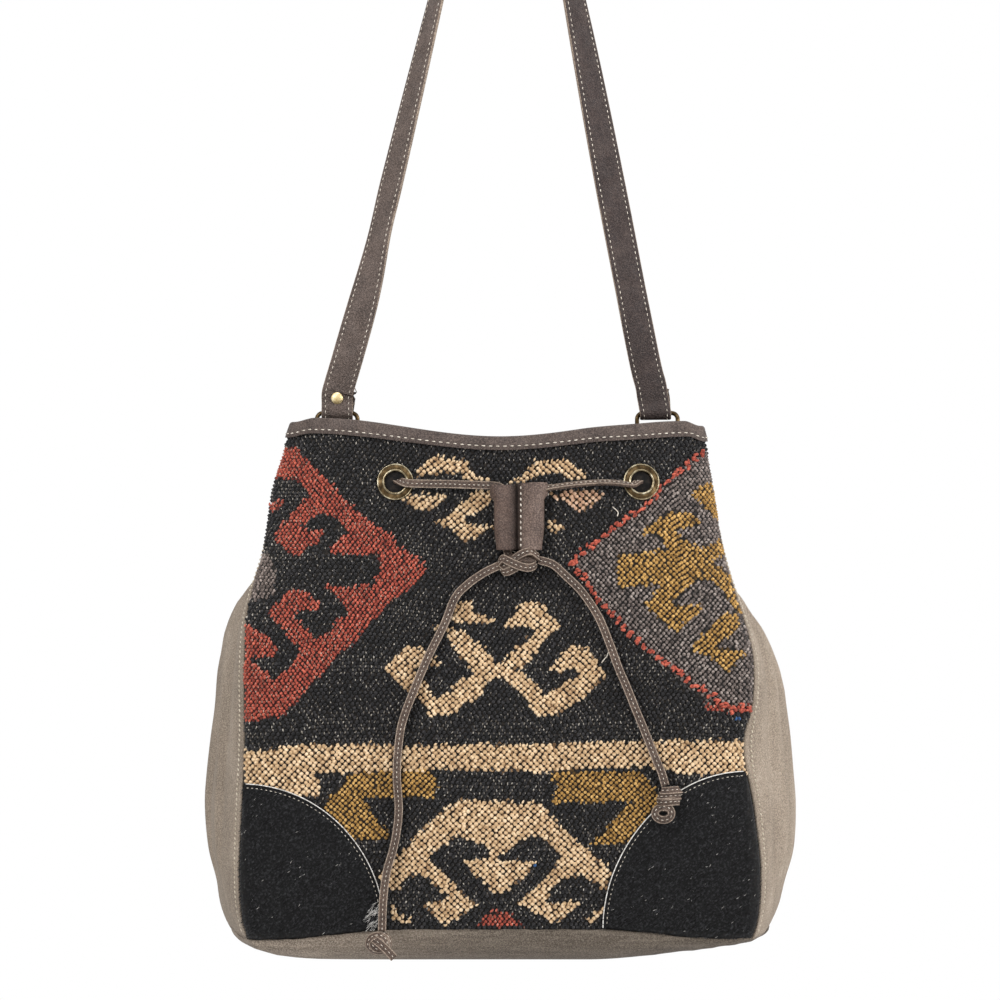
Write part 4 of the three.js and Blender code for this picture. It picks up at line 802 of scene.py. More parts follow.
GROUND_YARN = yarn("charcoal_yarn", (12, 12, 13), (26, 25, 27), (58, 56, 57), 380)
FLECK_YARN = yarn("fleck_yarn", (50, 47, 44), (108, 101, 93), (196, 189, 178), 420)
# Bed yarns: each motif's colour painted darker, as the shade in the gaps between its knots
RED_BED_SHADE_YARN = yarn("red_bed_painted_shade_yarn", (58, 22, 19), (88, 33, 28), (120, 50, 42), 420)
CREAM_BED_SHADE_YARN = yarn("cream_bed_painted_shade_yarn", (92, 68, 46), (132, 103, 74), (168, 138, 104), 300)
GOLD_BED_SHADE_YARN = yarn("gold_bed_painted_shade_yarn", (50, 36, 16), (78, 57, 26), (108, 82, 42), 300)
GREY_BED_SHADE_YARN = yarn("grey_bed_painted_shade_yarn", (26, 24, 24), (48, 44, 43), (74, 69, 66), 300)
RED_YARN = yarn("red_yarn", (102, 42, 32), (158, 70, 54), (204, 106, 84), 420)
RED_FLECK_YARN = yarn("red_fleck_yarn", (104, 66, 56), (148, 108, 94), (200, 168, 152), 420)
TIP_YARN = yarn("red_tip_yarn", (132, 56, 44), (170, 84, 68), (206, 126, 108), 420)
CREAM_YARN = yarn("cream_yarn", (164, 132, 96), (204, 174, 136), (234, 210, 176), 240)
PINK_YARN = yarn("pink_yarn", (160, 122, 98), (196, 158, 130), (222, 194, 168), 240)
GOLD_YARN = yarn("gold_yarn", (108, 80, 38), (164, 125, 64), (212, 172, 106), 300)
GREY_YARN = yarn("grey_yarn", (60, 53, 50), (108, 97, 92), (164, 152, 145), 300)
WORN_YARN = yarn("worn_yarn", (50, 44, 42), (104, 92, 86), (170, 156, 148), 520)
BLUE_YARN = yarn("blue_yarn", (30, 56, 92), (48, 88, 138), (84, 124, 168), 300)
# The warp sheet is painted near-black as the shade in the gaps between knots
GAP_SHADE_WARP = yarn("warp_painted_gap_shade", (12, 11, 11), (22, 20, 19), (44, 38, 33), 500)
CANVAS_TONES = ((112, 100, 88), (150, 136, 121), (186, 172, 156))
BASE_TONES = ((88, 79, 70), (130, 118, 106), (174, 161, 146), (0.12, 0.12, 1.6), 240)
# Sides and back: painted shade, 8% darker at the left than at the right, as the light falls
CANVAS = canvas_with_painted_light_ramp("canvas_cloth", CANVAS_TONES, (-0.2, 0.18), (0.92, 1.0))
# Base: painted shade, 24% darker over its middle and right than at its left
BASE_CANVAS = canvas_with_painted_light_ramp("base_canvas", BASE_TONES, (-0.13, -0.02), (1.0, 0.76))
LINING_CLOTH = canvas("lining_cloth", (70, 63, 54), (88, 80, 70), (106, 98, 86))
LEATHER = leather("bag_leather", (48, 40, 37), (73, 62, 57), (103, 90, 83))
STRAP_LEATHER = leather("strap_leather", (54, 46, 42), (83, 71, 65), (112, 98, 91))
DARK_STRAP = leather("dark_strap_leather", (35, 28, 27), (54, 44, 42), (79, 67, 62))
CUT_EDGE = leather("cut_edge_leather", (104, 90, 80), (138, 122, 109), (170, 154, 138), (0.75, 0.9))
# Slider leather with painted shade in the groove between its channels and a little over its left channel
SLIDER_LEATHER = leather_with_painted_groove_shade("slider_leather", ((60, 48, 43), (94, 78, 71), (130, 112, 102)),
                                 (-0.0135, 0.0015, 0.0195), (96, 88, 84))
CORD_LEATHER = leather("cord_leather", (43, 34, 30), (73, 59, 51), (106, 88, 76))
THREAD = yarn("stitch_thread", (176, 166, 152), (212, 202, 188), (232, 224, 212), 600)
BEIGE_THREAD = yarn("beige_thread", (164, 152, 132), (196, 184, 164), (216, 206, 188), 600)
DARK_BRASS = brass("antique_brass", (40, 31, 20), (74, 60, 40), (122, 102, 72), (0.3, 0.5))
# Lighter brass for the eyelets' rolled rim and lip: partly rubbed wear, partly painted highlight
RUBBED_HIGHLIGHT_BRASS = brass("rubbed_brass_painted_highlight", (84, 74, 56), (134, 122, 98), (206, 198, 174), (0.14, 0.3))
BRIGHT_BRASS = brass("bright_brass", (204, 178, 122), (226, 204, 154), (240, 226, 188), (0.25, 0.4), 0.5)


def hide_material():
    m = Material("black_hide", specular=0.12)
    m.colour(m.ramp(m.noise(1400, 2.0, vector=m.mapped((1, 1, 0.12), (0, -0.9, 0))), [
        (0.35, (5, 4, 5)), (0.58, (12, 11, 12)), (0.76, (34, 33, 34))]))
    m.roughness(m.scaled(m.noise(90, 3.0), 0.45, 0.75))
    m.bump(m.noise(1500, 2.0, vector=m.mapped((1, 1, 0.1), (0, -0.9, 0))), 0.6, 0.0005)
    return m.data


HIDE = hide_material()
# Black hair whose lighter tones are partly painted sheen streaks
HAIR = yarn("black_hair", (7, 7, 8), (17, 17, 18), (54, 54, 56), 700)
WHITE_HAIR = yarn("white_hair", (176, 172, 166), (212, 208, 202), (236, 234, 230), 600)

# Camera: level, at the photograph's eye height, square to the front


def make_camera():
    data = bpy.data.cameras.new("camera")
    data.sensor_width = 36
    data.lens = 36 * CAMERA_DISTANCE / (SCALE_AT_MIDDLE * FRAME_SIZE)
    data.clip_end = 60
    camera = bpy.data.objects.new("camera", data)
    bpy.context.scene.collection.objects.link(camera)
    camera.location = (np.array([0, -CAMERA_DISTANCE, EYE_LEVEL]) + BAG_TO_ROW) / 1000
    camera.rotation_euler = (math.pi / 2, 0, 0)
    bpy.context.scene.camera = camera


make_camera()

# Drawcord: flat stitched leather and its knots
CORD_SECTION = band_section(CORD_WIDTH, CORD_THICKNESS, 0.8)


def flat_cord(name, route, samples, up, body="bag"):
    path = curve_points(route, samples)
    piece = sweep(name, path, up, CORD_SECTION, CORD_LEATHER, body)
    sideways, face = frames_along(path, up)
    line = path + face * (CORD_THICKNESS / 2 + 0.05)
    stitch_line(name + "_stitches", line, face, 3.0, 1.9, 0.5, THREAD, "leather")
    for sign in (-1, 1):
        edge = path + sideways * sign * (CORD_WIDTH / 2 - 0.25) + face * (CORD_THICKNESS / 2 - 0.25)
        edge_name = name + ("_edge_a" if sign < 0 else "_edge_b")
        sweep(edge_name, edge, up, band_section(0.7, 0.7, 0.3, 2), CUT_EDGE)
    return piece, path


def declare_tail(name):
    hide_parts(name)


def knot_band(name, route, centre, samples=90):
    """One turn of a knot: the flat cord bent round the knot's middle."""
    path = curve_points(route, samples)
    outward = path - np.array(centre, float)
    outward[:, 1] = outward[:, 1] * 1.6 - 2.5
    piece, _ = flat_cord(name, route, samples, unit(outward))
    return piece


def spiral(centre, radii, turns, start, steps=14, plane="xz", drift=(0, 0, 0)):
    """Points of a flat spiral; radii are its first and last sizes, drift moves it along."""
    points = []
    count = int(steps * abs(turns)) + 1
    for k in range(count):
        share = k / (count - 1)
        angle = math.radians(start) + 2 * math.pi * turns * share
        size = mix(np.array(radii[0], float), np.array(radii[1], float), share)
        a, b = size[0] * math.cos(angle), size[1] * math.sin(angle)
        offset = np.array([a, 0, b]) if plane == "xz" else np.array([a, b, 0.16 * a])
        points.append((np.array(centre, float) + offset + np.array(drift, float) * share).tolist())
    return points


def knot_core(name, centre, radii):
    """The hidden middle of a knot, which closes the gaps between its turns."""
    one = np.ones((1, 3))
    place = np.array([centre], float)
    axes = [one * [1, 0, 0], one * [0, 0, 1], one * [0, -1, 0]]
    size = np.array([radii], float)
    return scatter(name, bead_template(16, 8, 1.95), place, *axes, size, CORD_LEATHER, "leather")


CENTRE_KNOT = [12.3, -71.2, 258.2]
LEFT_KNOT = [-77, -79.4, 19.6]
LOOP_SAMPLES = 520
EYELET_DEPTH = 57
EDGE_ON_FROM_X = 26
loop_path = curve_points(LOOP_ROUTE, LOOP_SAMPLES)
loop_faces = np.where(loop_path[:, 1:2] < 0, [[0, -1, 0.1]], [[0, 1, 0.1]]).astype(float)
inside_bag = np.abs(loop_path[:, 1]) < EYELET_DEPTH
loop_faces = np.where(inside_bag[:, None], [[0, 0, 1.0]], loop_faces)
edge_on = (loop_path[:, 1] < -EYELET_DEPTH) & (loop_path[:, 0] > EDGE_ON_FROM_X)
loop_faces = np.where(edge_on[:, None], [[0, -0.45, 1.0]], loop_faces)
for _ in range(14):
    loop_faces[1:-1] = unit((loop_faces[:-2] + loop_faces[1:-1] + loop_faces[2:]) / 3)
loop_piece, _ = flat_cord("drawcord_loop_band", LOOP_ROUTE, LOOP_SAMPLES, loop_faces)
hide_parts("drawcord_loop")

over = knot_band("drawcord_knot_over", [
    [2, -70.6, 256.4], [7, -73.8, 259.4], [13, -76, 264], [19, -75.6, 265.8],
    [24.3, -71.4, 262]], CENTRE_KNOT)
knot_band("drawcord_knot_under", [
    [-0.3, -69.6, 258.4], [2, -74, 261.4], [6, -77, 259.8], [11.5, -78, 257.4], [17.5, -76.4, 256],
    [21.6, -72.4, 257.6], [21, -69.4, 260.6], [16, -68.6, 262]], CENTRE_KNOT)
knot_band("drawcord_knot_through", [
    [19.2, -69.4, 263.2], [16.4, -73, 260.6], [12, -74.2, 257.4], [7, -74, 254.4], [3, -72, 253.4],
    [0.6, -69.4, 256]], CENTRE_KNOT)
knot_core("drawcord_knot_core", [12.5, -71.5, 260.3], (10.5, 5.0, 5.4))
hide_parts("drawcord_knot")

left_turns = spiral(LEFT_KNOT, ((7.2, 6), (3.6, 3)), -1.7, 70, drift=(0.8, -4, 0))
left_knot = knot_band("tail_knot_left_turns", left_turns, LEFT_KNOT, 130)
knot_band("tail_knot_left_end", [
    [-80, -81.6, 22.4], [-76, -84.4, 19.6], [-72, -84.2, 16], [-69, -83.2, 12.6],
    [-66.8, -82.6, 10.2]], LEFT_KNOT, 50)
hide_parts("tail_knot_left")

wraps = spiral([107, -81.4, 116], ((6, 3.4), (6.4, 3.8)), 2.4, -150, plane="xy", drift=(-1, 0, -8))
right_knot = knot_band("tail_knot_right_wraps", wraps, [106.6, -81.4, 110], 150)
ring_turns = spiral([102.6, -82.4, 100.8], ((5.2, 3.9), (4.1, 3.6)), 1.15, 60, drift=(0.9, -2.4, 0.8))
knot_band("tail_knot_right_loop", ring_turns, [102.4, -80, 100.4], 80)
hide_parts("tail_knot_right")

left_tail, left_path = flat_cord("tail_left_band", TAIL_LEFT_ROUTE, 160, (0, -1, 0))
declare_tail("drawcord_tail_left")
right_tail, right_path = flat_cord("tail_right_band", TAIL_RIGHT_ROUTE, 120, (0, -1, 0))
declare_tail("drawcord_tail_right")

# Rug front: a warp sheet, painted near-black as the shade in the gaps between knots, that carries the knots
LEVELS = np.linspace(0, 1, 71)


def rug_sheet():
    outer = wall_grid(FRONT, LEVELS, 0.9)
    inner = wall_grid(FRONT, LEVELS, RUG_THICKNESS)
    piece = shell("rug_warp_sheet", outer, inner, GAP_SHADE_WARP)
    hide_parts("front_panel")


rug_sheet()

# Pattern of the rug, drawn in the photograph's own pixels
RED_LEFT = [
    (284, 448), (296, 448), (306, 460), (324, 478), (339, 494), (355, 510), (370, 523), (388, 535),
    (403, 550), (421, 560), (426, 572), (410, 588), (389, 603), (371, 622), (357, 640), (336, 656),
    (329, 668), (308, 688), (292, 706), (281, 716), (242, 721), (200, 724), (200, 440),
]
BLACK_IN_RED = [
    (262, 478), (295, 479), (304, 487), (307, 497), (295, 512), (277, 528), (273, 536), (277, 543),
    (295, 557), (303, 554), (306, 547), (315, 543), (325, 534), (322, 531), (300, 530), (302, 525),
    (311, 518), (321, 513), (333, 517), (348, 533), (333, 544), (326, 553), (345, 555), (380, 555),
    (377, 563), (382, 570), (374, 577), (377, 585), (345, 588), (331, 584), (324, 587), (340, 600),
    (346, 610), (348, 616), (339, 618), (330, 631), (313, 640), (310, 633), (295, 619), (293, 612),
    (318, 610), (321, 604), (304, 592), (292, 588), (276, 604), (267, 613), (284, 630), (289, 640),
    (297, 645), (298, 655), (284, 673), (272, 680), (263, 671), (249, 658), (274, 655), (279, 650),
    (263, 634), (250, 627), (236, 620), (200, 600), (200, 500),
]
RED_HOOK = [
    (303, 503), (287, 520), (273, 536), (285, 551), (298, 556), (306, 546), (325, 533), (300, 530),
    (300, 512),
]
RED_BIT = [(268, 503), (286, 500), (276, 509), (270, 516)]
WORN_EDGE = [(200, 552), (268, 554), (276, 572), (272, 598), (200, 604)]
CREAM = [
    [(413, 478), (417, 470), (425, 460), (435, 455), (452, 460), (467, 462), (468, 468), (476, 477),
     (488, 478), (486, 482), (462, 480), (460, 472), (446, 472), (432, 476)],
    [(401, 500), (405, 495), (448, 496), (438, 505), (430, 509), (415, 510), (406, 502)],
    [(472, 490), (490, 492), (493, 500), (475, 513), (463, 520), (470, 525), (493, 526), (476, 537),
     (464, 542), (450, 527), (433, 524), (442, 518), (455, 508), (470, 498)],
    [(506, 483), (520, 476), (532, 466), (537, 461), (568, 460), (575, 468), (584, 473), (589, 480),
     (572, 480), (560, 473), (546, 473), (530, 480)],
    [(546, 512), (553, 521), (564, 528), (550, 535)],
    [(452, 622), (450, 615), (460, 603), (472, 602), (473, 610), (483, 617), (496, 621), (478, 624)],
    [(428, 626), (445, 624), (445, 628), (430, 630)],
    [(445, 628), (462, 629), (472, 640), (482, 647), (498, 664), (510, 656), (517, 646), (536, 634),
     (530, 628), (500, 626), (511, 618), (519, 606), (525, 600), (545, 606), (551, 617), (559, 628),
     (540, 644), (532, 657), (521, 668), (514, 668), (524, 675), (541, 690), (543, 697), (552, 692),
     (562, 683), (578, 676), (575, 670), (542, 671), (553, 665), (563, 650), (572, 644), (589, 650),
     (598, 664), (606, 675), (594, 688), (578, 702), (563, 710), (558, 716), (538, 716), (525, 700),
     (504, 681), (498, 678), (485, 683), (482, 696), (468, 701), (452, 716), (430, 716), (417, 700),
     (405, 688), (384, 670), (396, 656), (411, 645), (424, 650), (444, 667), (411, 667), (425, 684),
     (434, 696), (441, 698), (462, 677), (475, 677), (466, 664), (447, 640)],
    [(200, 752), (265, 752), (285, 745), (500, 745), (700, 741), (800, 742), (800, 775), (680, 775),
     (660, 768), (600, 768), (540, 772), (430, 770), (350, 773), (313, 774), (320, 784), (320, 797),
     (302, 795), (290, 850), (200, 850)],
    [(457, 800), (541, 804), (560, 828), (582, 845), (600, 862), (612, 870), (606, 890), (580, 874),
     (565, 879), (553, 887), (545, 903), (580, 902), (568, 914), (556, 923), (541, 917), (517, 903),
     (543, 880), (556, 867), (558, 856), (545, 841), (530, 835), (513, 848), (500, 855), (497, 860),
     (535, 862), (523, 878), (497, 895), (474, 875), (463, 861), (492, 858), (485, 848), (458, 835),
     (445, 844), (425, 858), (440, 870), (465, 896), (475, 906), (462, 915), (443, 925), (422, 903),
     (448, 900), (438, 888), (426, 876), (410, 875), (399, 890), (385, 888), (376, 875), (401, 850),
     (418, 833), (436, 815)],
    [(390, 903), (401, 915), (412, 922), (402, 924), (390, 915)],
    [(584, 920), (596, 911), (604, 906), (604, 917), (588, 924)],
]
PINK_LEAF = [
    (545, 494), (575, 490), (590, 488), (605, 496), (590, 507), (577, 512), (567, 503), (548, 496),
]
RED_LOW = [(476, 926), (489, 914), (505, 911), (515, 920), (525, 926)]
GREY_RIGHT = [
    (702, 453), (690, 462), (677, 472), (661, 488), (646, 505), (629, 517), (610, 531), (594, 543),
    (578, 557), (569, 562), (579, 571), (596, 599), (605, 607), (615, 618), (629, 632), (646, 650),
    (662, 665), (684, 684), (703, 699), (706, 707), (800, 709), (800, 440),
]
RED_ROW = [(702, 703), (750, 705), (800, 705), (800, 712), (706, 711)]
GOLD = [
    [(350, 773), (430, 770), (438, 784), (432, 798), (362, 798), (371, 815), (390, 834), (388, 839),
     (352, 840), (322, 808), (328, 798), (337, 790), (346, 781)],
    [(551, 771), (642, 773), (651, 785), (660, 800), (650, 815), (640, 828), (628, 842), (610, 845),
     (589, 845), (603, 833), (621, 812), (632, 801), (552, 803), (557, 785), (551, 778)],
    [(689, 492), (711, 481), (718, 512), (720, 525), (704, 505)],
    [(641, 535), (650, 524), (670, 511), (692, 514), (703, 523), (674, 530), (688, 543), (700, 548),
     (720, 540), (725, 555), (712, 562), (722, 568), (730, 575), (712, 582), (697, 578), (684, 591),
     (668, 604), (705, 605), (694, 616), (676, 632), (660, 618), (642, 604), (648, 602), (660, 586),
     (655, 584), (618, 588), (616, 570), (617, 555), (668, 549), (656, 535)],
    [(712, 565), (730, 575), (744, 620), (725, 595), (712, 582)],
    [(690, 651), (698, 638), (712, 624), (724, 612), (738, 615), (738, 630), (718, 644), (716, 648),
     (747, 651), (738, 662), (728, 672), (718, 666), (708, 655)],
]
BLUE_SPECKS = [(536, 866), (738, 718)]

# Corner patches: reach across and up from the lower corners, by side
PATCHES = {-1: (91.0, 99.0), 1: (99.0, 107.0)}
PATCH_GAP = 1.4
PATCH_LEVEL = 60.0
PATCH_CORNER_HEIGHT = 24.5
PATCH_CORNER_INSET = 4.0
PATCH_FACE = 1.9
PATCH_BACK = 0.5
HAIR_COUNT = 15000
HAIR_END_X = 166
HAIR_HALF_SIZES = ((1.6, 2.9), (0.1, 0.2), (0.25, 0.6))
WHITE_HAIR_SHARE = 0.004


def patch_share(x, height):
    """Under 1 inside a corner patch's quarter ellipse."""
    side = np.where(x < 0, -1, 1)
    reach = np.where(x < 0, PATCHES[-1][0], PATCHES[1][0])
    rise = np.where(x < 0, PATCHES[-1][1], PATCHES[1][1])
    inner_x = seam_x(np.full_like(x, PATCH_LEVEL), side) - PATCH_GAP - reach
    edge = seam_x(height, side) - PATCH_GAP
    across = (edge - np.abs(x)) / np.maximum(edge - inner_x, 1)
    foot = panel_foot(inner_x) + PATCH_GAP
    up = (height - foot) / (FOOT_AT_CORNER + rise - foot)
    return np.sqrt(np.maximum(across, 0) ** 2 + np.maximum(up, 0) ** 2)


def paint(pixels):
    """Yarn name for each place in the photograph."""
    yarn_of = np.full(len(pixels), "ground", dtype=object)
    fray = pixels + rng.normal(0, 1.0, pixels.shape)

    def fill(outline, name):
        yarn_of[inside_outline(fray, outline)] = name

    fill(RED_LEFT, "red")
    fill(BLACK_IN_RED, "ground")
    fill(RED_HOOK, "red")
    fill(RED_BIT, "red")
    fill(WORN_EDGE, "worn")
    fill(GREY_RIGHT, "grey")
    fill(RED_ROW, "red")
    for outline in GOLD:
        fill(outline, "gold")
    for outline in CREAM:
        fill(outline, "cream")
    fill(PINK_LEAF, "pink")
    fill(RED_LOW, "red")
    for x, y in BLUE_SPECKS:
        yarn_of[np.hypot(pixels[:, 0] - x, pixels[:, 1] - y) < 3] = "blue"
    return yarn_of


def knot_places(pitch_across, pitch_up):
    """Staggered places over the whole rug front, with outward directions."""
    fine = np.linspace(-0.995, 0.995, 900)
    rows = int(320 / pitch_up)
    centres, outwards = [], []
    for row in range(rows):
        v = (row + 0.5) / rows
        x, _ = panel_point(fine, np.full_like(fine, 150.0), -1)
        heights = mix(panel_foot(x), panel_rim(x) - TOP_INSET, v)
        x, y = panel_point(fine, heights, -1)
        line = np.stack([x, y, heights, fine], axis=1)
        lengths = running_length(line[:, :3])
        middle = lengths[-1] / 2
        first = middle - math.floor(middle / pitch_across) * pitch_across
        wanted = np.arange(first + (row % 2) * pitch_across / 2, lengths[-1] - 0.8, pitch_across)
        wanted = wanted + rng.normal(0, pitch_across * 0.085, len(wanted))
        t = np.interp(wanted, lengths, fine)
        h = np.interp(wanted, lengths, heights) + rng.normal(0, pitch_up * 0.08, len(wanted))
        px, py = panel_point(t, h, -1)
        ahead = np.stack(panel_point(np.minimum(t + 0.01, 1), h, -1) + (h,), axis=1)
        behind = np.stack(panel_point(np.maximum(t - 0.01, -1), h, -1) + (h,), axis=1)
        above = np.stack(panel_point(t, h + 1, -1) + (h + 1,), axis=1)
        below = np.stack(panel_point(t, h - 1, -1) + (h - 1,), axis=1)
        centres.append(np.stack([px, py, h], axis=1))
        outwards.append(unit(np.cross(ahead - behind, above - below)))
    return np.vstack(centres), np.vstack(outwards)


ROUND_KNOT = bead_template(8, 3)
KNOT = bead_template(7, 2)
SMALL_KNOT = bead_template(6, 2)
FLECK = bead_template(5, 1)
EYELET_LEFT_X = -66.4
EYELET_RIGHT_X = 89.7


def clear_of_fittings(centres):
    x, height = centres[:, 0], centres[:, 2]
    clear = patch_share(x, height) > 0.985
    clear &= height < panel_rim(x) - BINDING_DEPTH + 2
    for eyelet_x in (EYELET_LEFT_X, EYELET_RIGHT_X):
        clear &= np.hypot(x - eyelet_x, height - EYELET_HEIGHT) > 11
    return clear


def patchy(centres):
    """How thickly the light flecks lie, which is uneven over the rug."""
    x, z = centres[:, 0], centres[:, 2]
    return 0.85 + 0.35 * np.sin(0.11 * x + 0.05 * z) * np.sin(0.09 * z - 0.04 * x + 1)


def knots(name, kinds, pitch, size, material, template, tilt=0.0, share=1.0, lift=0.0):
    """All knots of one yarn; size is along, across and outward half sizes, tilt turns them."""
    centres, outward = knot_places(*pitch)
    keep = clear_of_fittings(centres)
    centres, outward = centres[keep], outward[keep]
    yarns = paint(to_photo(centres))
    keep = np.isin(yarns.astype(str), kinds)
    if share < 1:
        keep &= rng.random(len(centres)) < share * patchy(centres)
    centres, outward = centres[keep], outward[keep]
    rise, side = upright(outward)
    angle = tilt + rng.normal(0, 0.34, len(centres))
    along = rise * np.cos(angle)[:, None] + side * np.sin(angle)[:, None]
    across = np.cross(outward, along)
    sizes = np.array(size)[None, :] * rng.uniform(0.86, 1.14, (len(centres), 3))
    centres = centres + outward * (lift - 0.9)
    scatter(name, template, centres, along, across, outward, sizes, material, "kilim_cloth")


def edge_tips(name, kind, pitch, material, step):
    """Pointed loop ends that stand out over the ground where a motif's upper edge ends."""
    centres, outward = knot_places(*pitch)
    keep = clear_of_fittings(centres)
    centres, outward = centres[keep], outward[keep]
    pixels = to_photo(centres)
    here = paint(pixels).astype(str)
    beyond = paint(pixels + step).astype(str)
    keep = (here == kind) & (beyond == "ground") & (rng.random(len(here)) < 0.75)
    centres, outward = centres[keep], outward[keep]
    up, side = upright(outward)
    angle = rng.normal(-0.55, 0.25, len(centres))
    along = up * np.cos(angle)[:, None] - side * np.sin(angle)[:, None]
    sizes = np.array([1.5, 0.7, 0.85])[None, :] * rng.uniform(0.8, 1.2, (len(centres), 3))
    centres = centres + along * 1.1 + outward * 0.3
    scatter(name, KNOT, centres, along, np.cross(outward, along), outward, sizes, material, "kilim_cloth")


def border_chain():
    """Red knots in a chain along the edge of the grey motif."""
    line = [GREY_RIGHT[k] for k in range(16)] + [(728, 708), (752, 710)]
    pixels = np.repeat(resample(np.array(line, float), 46), 5, axis=0)
    centres, outward = on_front(pixels[:, 0], pixels[:, 1])
    x, height = centres[:, 0], centres[:, 2]
    keep = (np.abs(x) < seam_x(height, 1) - 1) & (height < panel_rim(x) - 9)
    centres, outward = centres[keep], outward[keep]
    up, side = upright(outward)
    angle = rng.normal(0.95, 0.5, len(centres))
    along = up * np.cos(angle)[:, None] + side * np.sin(angle)[:, None]
    across = np.cross(outward, along)
    sizes = np.array([1.8, 1.05, 1.4])[None, :] * rng.uniform(0.75, 1.25, (len(centres), 3))
    centres = centres + across * rng.normal(0, 1.0, len(centres))[:, None]
    centres = centres + along * rng.normal(0, 1.2, len(centres))[:, None] + outward * 0.2
    scatter("rug_border_knots", KNOT, centres, along, across, outward, sizes, RED_YARN, "kilim_cloth")


# The bed layers lie under their motif's knots, in yarn painted darker as the shade in the gaps
knots("rug_ground_knots", ["ground"], (3.3, 2.3), (1.42, 1.3, 1.9), GROUND_YARN, SMALL_KNOT, 0.1)
knots("rug_flecks", ["ground"], (3.3, 2.05), (1.15, 0.55, 0.8), FLECK_YARN, FLECK, 0.1, 0.62, 0.9)
knots("rug_red_bed", ["red"], (3.0, 1.9), (1.9, 1.7, 0.8), RED_BED_SHADE_YARN, FLECK)
knots("rug_red_knots", ["red"], (3.0, 1.9), (1.3, 1.12, 1.4), RED_YARN, KNOT, 0.3)
knots("rug_red_flecks", ["red"], (3.0, 2.1), (1.0, 0.45, 0.8), RED_FLECK_YARN, FLECK, 0.1, 0.6, 1.0)
knots("rug_cream_bed", ["cream", "pink"], (4.1, 1.95), (2.1, 2.0, 0.9), CREAM_BED_SHADE_YARN, FLECK)
knots("rug_cream_knots", ["cream"], (4.1, 1.95), (1.42, 1.42, 1.7), CREAM_YARN, ROUND_KNOT)
knots("rug_pink_knots", ["pink"], (4.1, 1.95), (1.42, 1.42, 1.7), PINK_YARN, KNOT)
knots("rug_gold_bed", ["gold"], (3.7, 1.75), (1.9, 1.8, 0.9), GOLD_BED_SHADE_YARN, FLECK)
knots("rug_gold_knots", ["gold"], (3.7, 1.75), (1.28, 1.26, 1.55), GOLD_YARN, KNOT)
knots("rug_grey_bed", ["grey"], (3.4, 1.8), (1.8, 1.7, 0.8), GREY_BED_SHADE_YARN, FLECK)
knots("rug_grey_knots", ["grey"], (3.4, 1.8), (1.24, 1.16, 1.35), GREY_YARN, KNOT, 0.2)
knots("rug_worn_knots", ["worn"], (2.8, 2.0), (1.5, 1.1, 1.35), WORN_YARN, KNOT, 0.2)
knots("rug_blue_knots", ["blue"], (2.6, 2.4), (1.5, 1.2, 1.5), BLUE_YARN, KNOT, 0.2)
edge_tips("rug_red_tips", "red", (3.0, 2.6), TIP_YARN, (2.5, -4.5))
edge_tips("rug_cream_tips", "cream", (3.4, 2.8), CREAM_YARN, (1.0, -5.0))
edge_tips("rug_gold_tips", "gold", (3.4, 2.8), GOLD_YARN, (1.0, -5.0))
border_chain()

# Canvas sides, back and base


# Upright creases of a side: place from its middle to its seam, lean, width and rise in millimetres
SIDE_CREASES = [
    (0.74, 0.0009, 0.055, -1.8), (0.58, -0.0006, 0.07, 2.3),
    (0.42, 0.001, 0.05, -1.8), (0.24, -0.0004, 0.08, 1.7),
]


def side_relief(s, height, phase):
    """How far a side stands out from its plain shape: gathers at the mouth and soft creases."""
    share = height / RIM_CORNER
    gather = ease(0.6, 0.82, share)
    folds = 1.3 * gather * (1 - np.abs(s) ** 3) * np.sin(11 * np.abs(s) + 4 * share + phase)
    creases = 0.9 * np.sin(0.045 * height + 3.2 * s + phase) * np.sin(2.4 * s + 0.02 * height + 2 * phase)
    drag = 1.6 * np.exp(-((share - 0.66) / 0.07) ** 2) * np.cos(9 * s + phase) * (1 - s * s)
    reach = ease(35, 80, height) * (1 - ease(225, 275, height))
    upright = np.zeros_like(creases)
    for at, lean, width, rise in SIDE_CREASES:
        across = np.abs(s) - at - lean * (height - 160) * np.cos(phase)
        upright = upright + rise * np.exp(-((across / width) ** 2))
    return (creases + drag + upright * reach) * (1 - s**4) + folds


def canvas_panel(name, columns, node, phase):
    levels = np.linspace(0, 1, 81)
    plain = wall_grid(columns, levels, 0.0)
    normal = grid_normals(plain)
    if node.startswith("gusset"):
        s = np.linspace(-1, 1, len(columns))[None, :]
        relief = side_relief(s, plain[..., 2], phase)
        from_seam = (1 - np.abs(s)) * seam_depth(plain[..., 2] / RIM_CORNER) * HALF_DEPTH
        relief = relief * ease(4, 14, from_seam)
        groove = 0.45 * np.exp(-((from_seam - SEAM_INSET) / 0.9) ** 2)
        relief = relief + 0.5 * (1 - ease(5.5, 8, from_seam)) - groove
    else:
        t = np.linspace(1, -1, len(columns))[None, :]
        height = plain[..., 2]
        relief = 1.1 * np.sin(0.03 * height + 2.2 * t) * np.sin(3.1 * t + 0.8) * (1 - t**4)
        relief = relief * ease(0, 30, RIM_CORNER - 12 - height)
    outer = plain + normal * relief[..., None]
    inner = outer - normal * CANVAS_THICKNESS
    piece = shell(name, outer, inner, CANVAS)
    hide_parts(node)
    return outer, normal


left_grid, left_normals = canvas_panel("side_canvas_left", LEFT, "gusset_left", 0.4)
right_grid, right_normals = canvas_panel("side_canvas_right", RIGHT, "gusset_right", 1.9)
canvas_panel("back_canvas", BACK, "back_panel", 0.0)


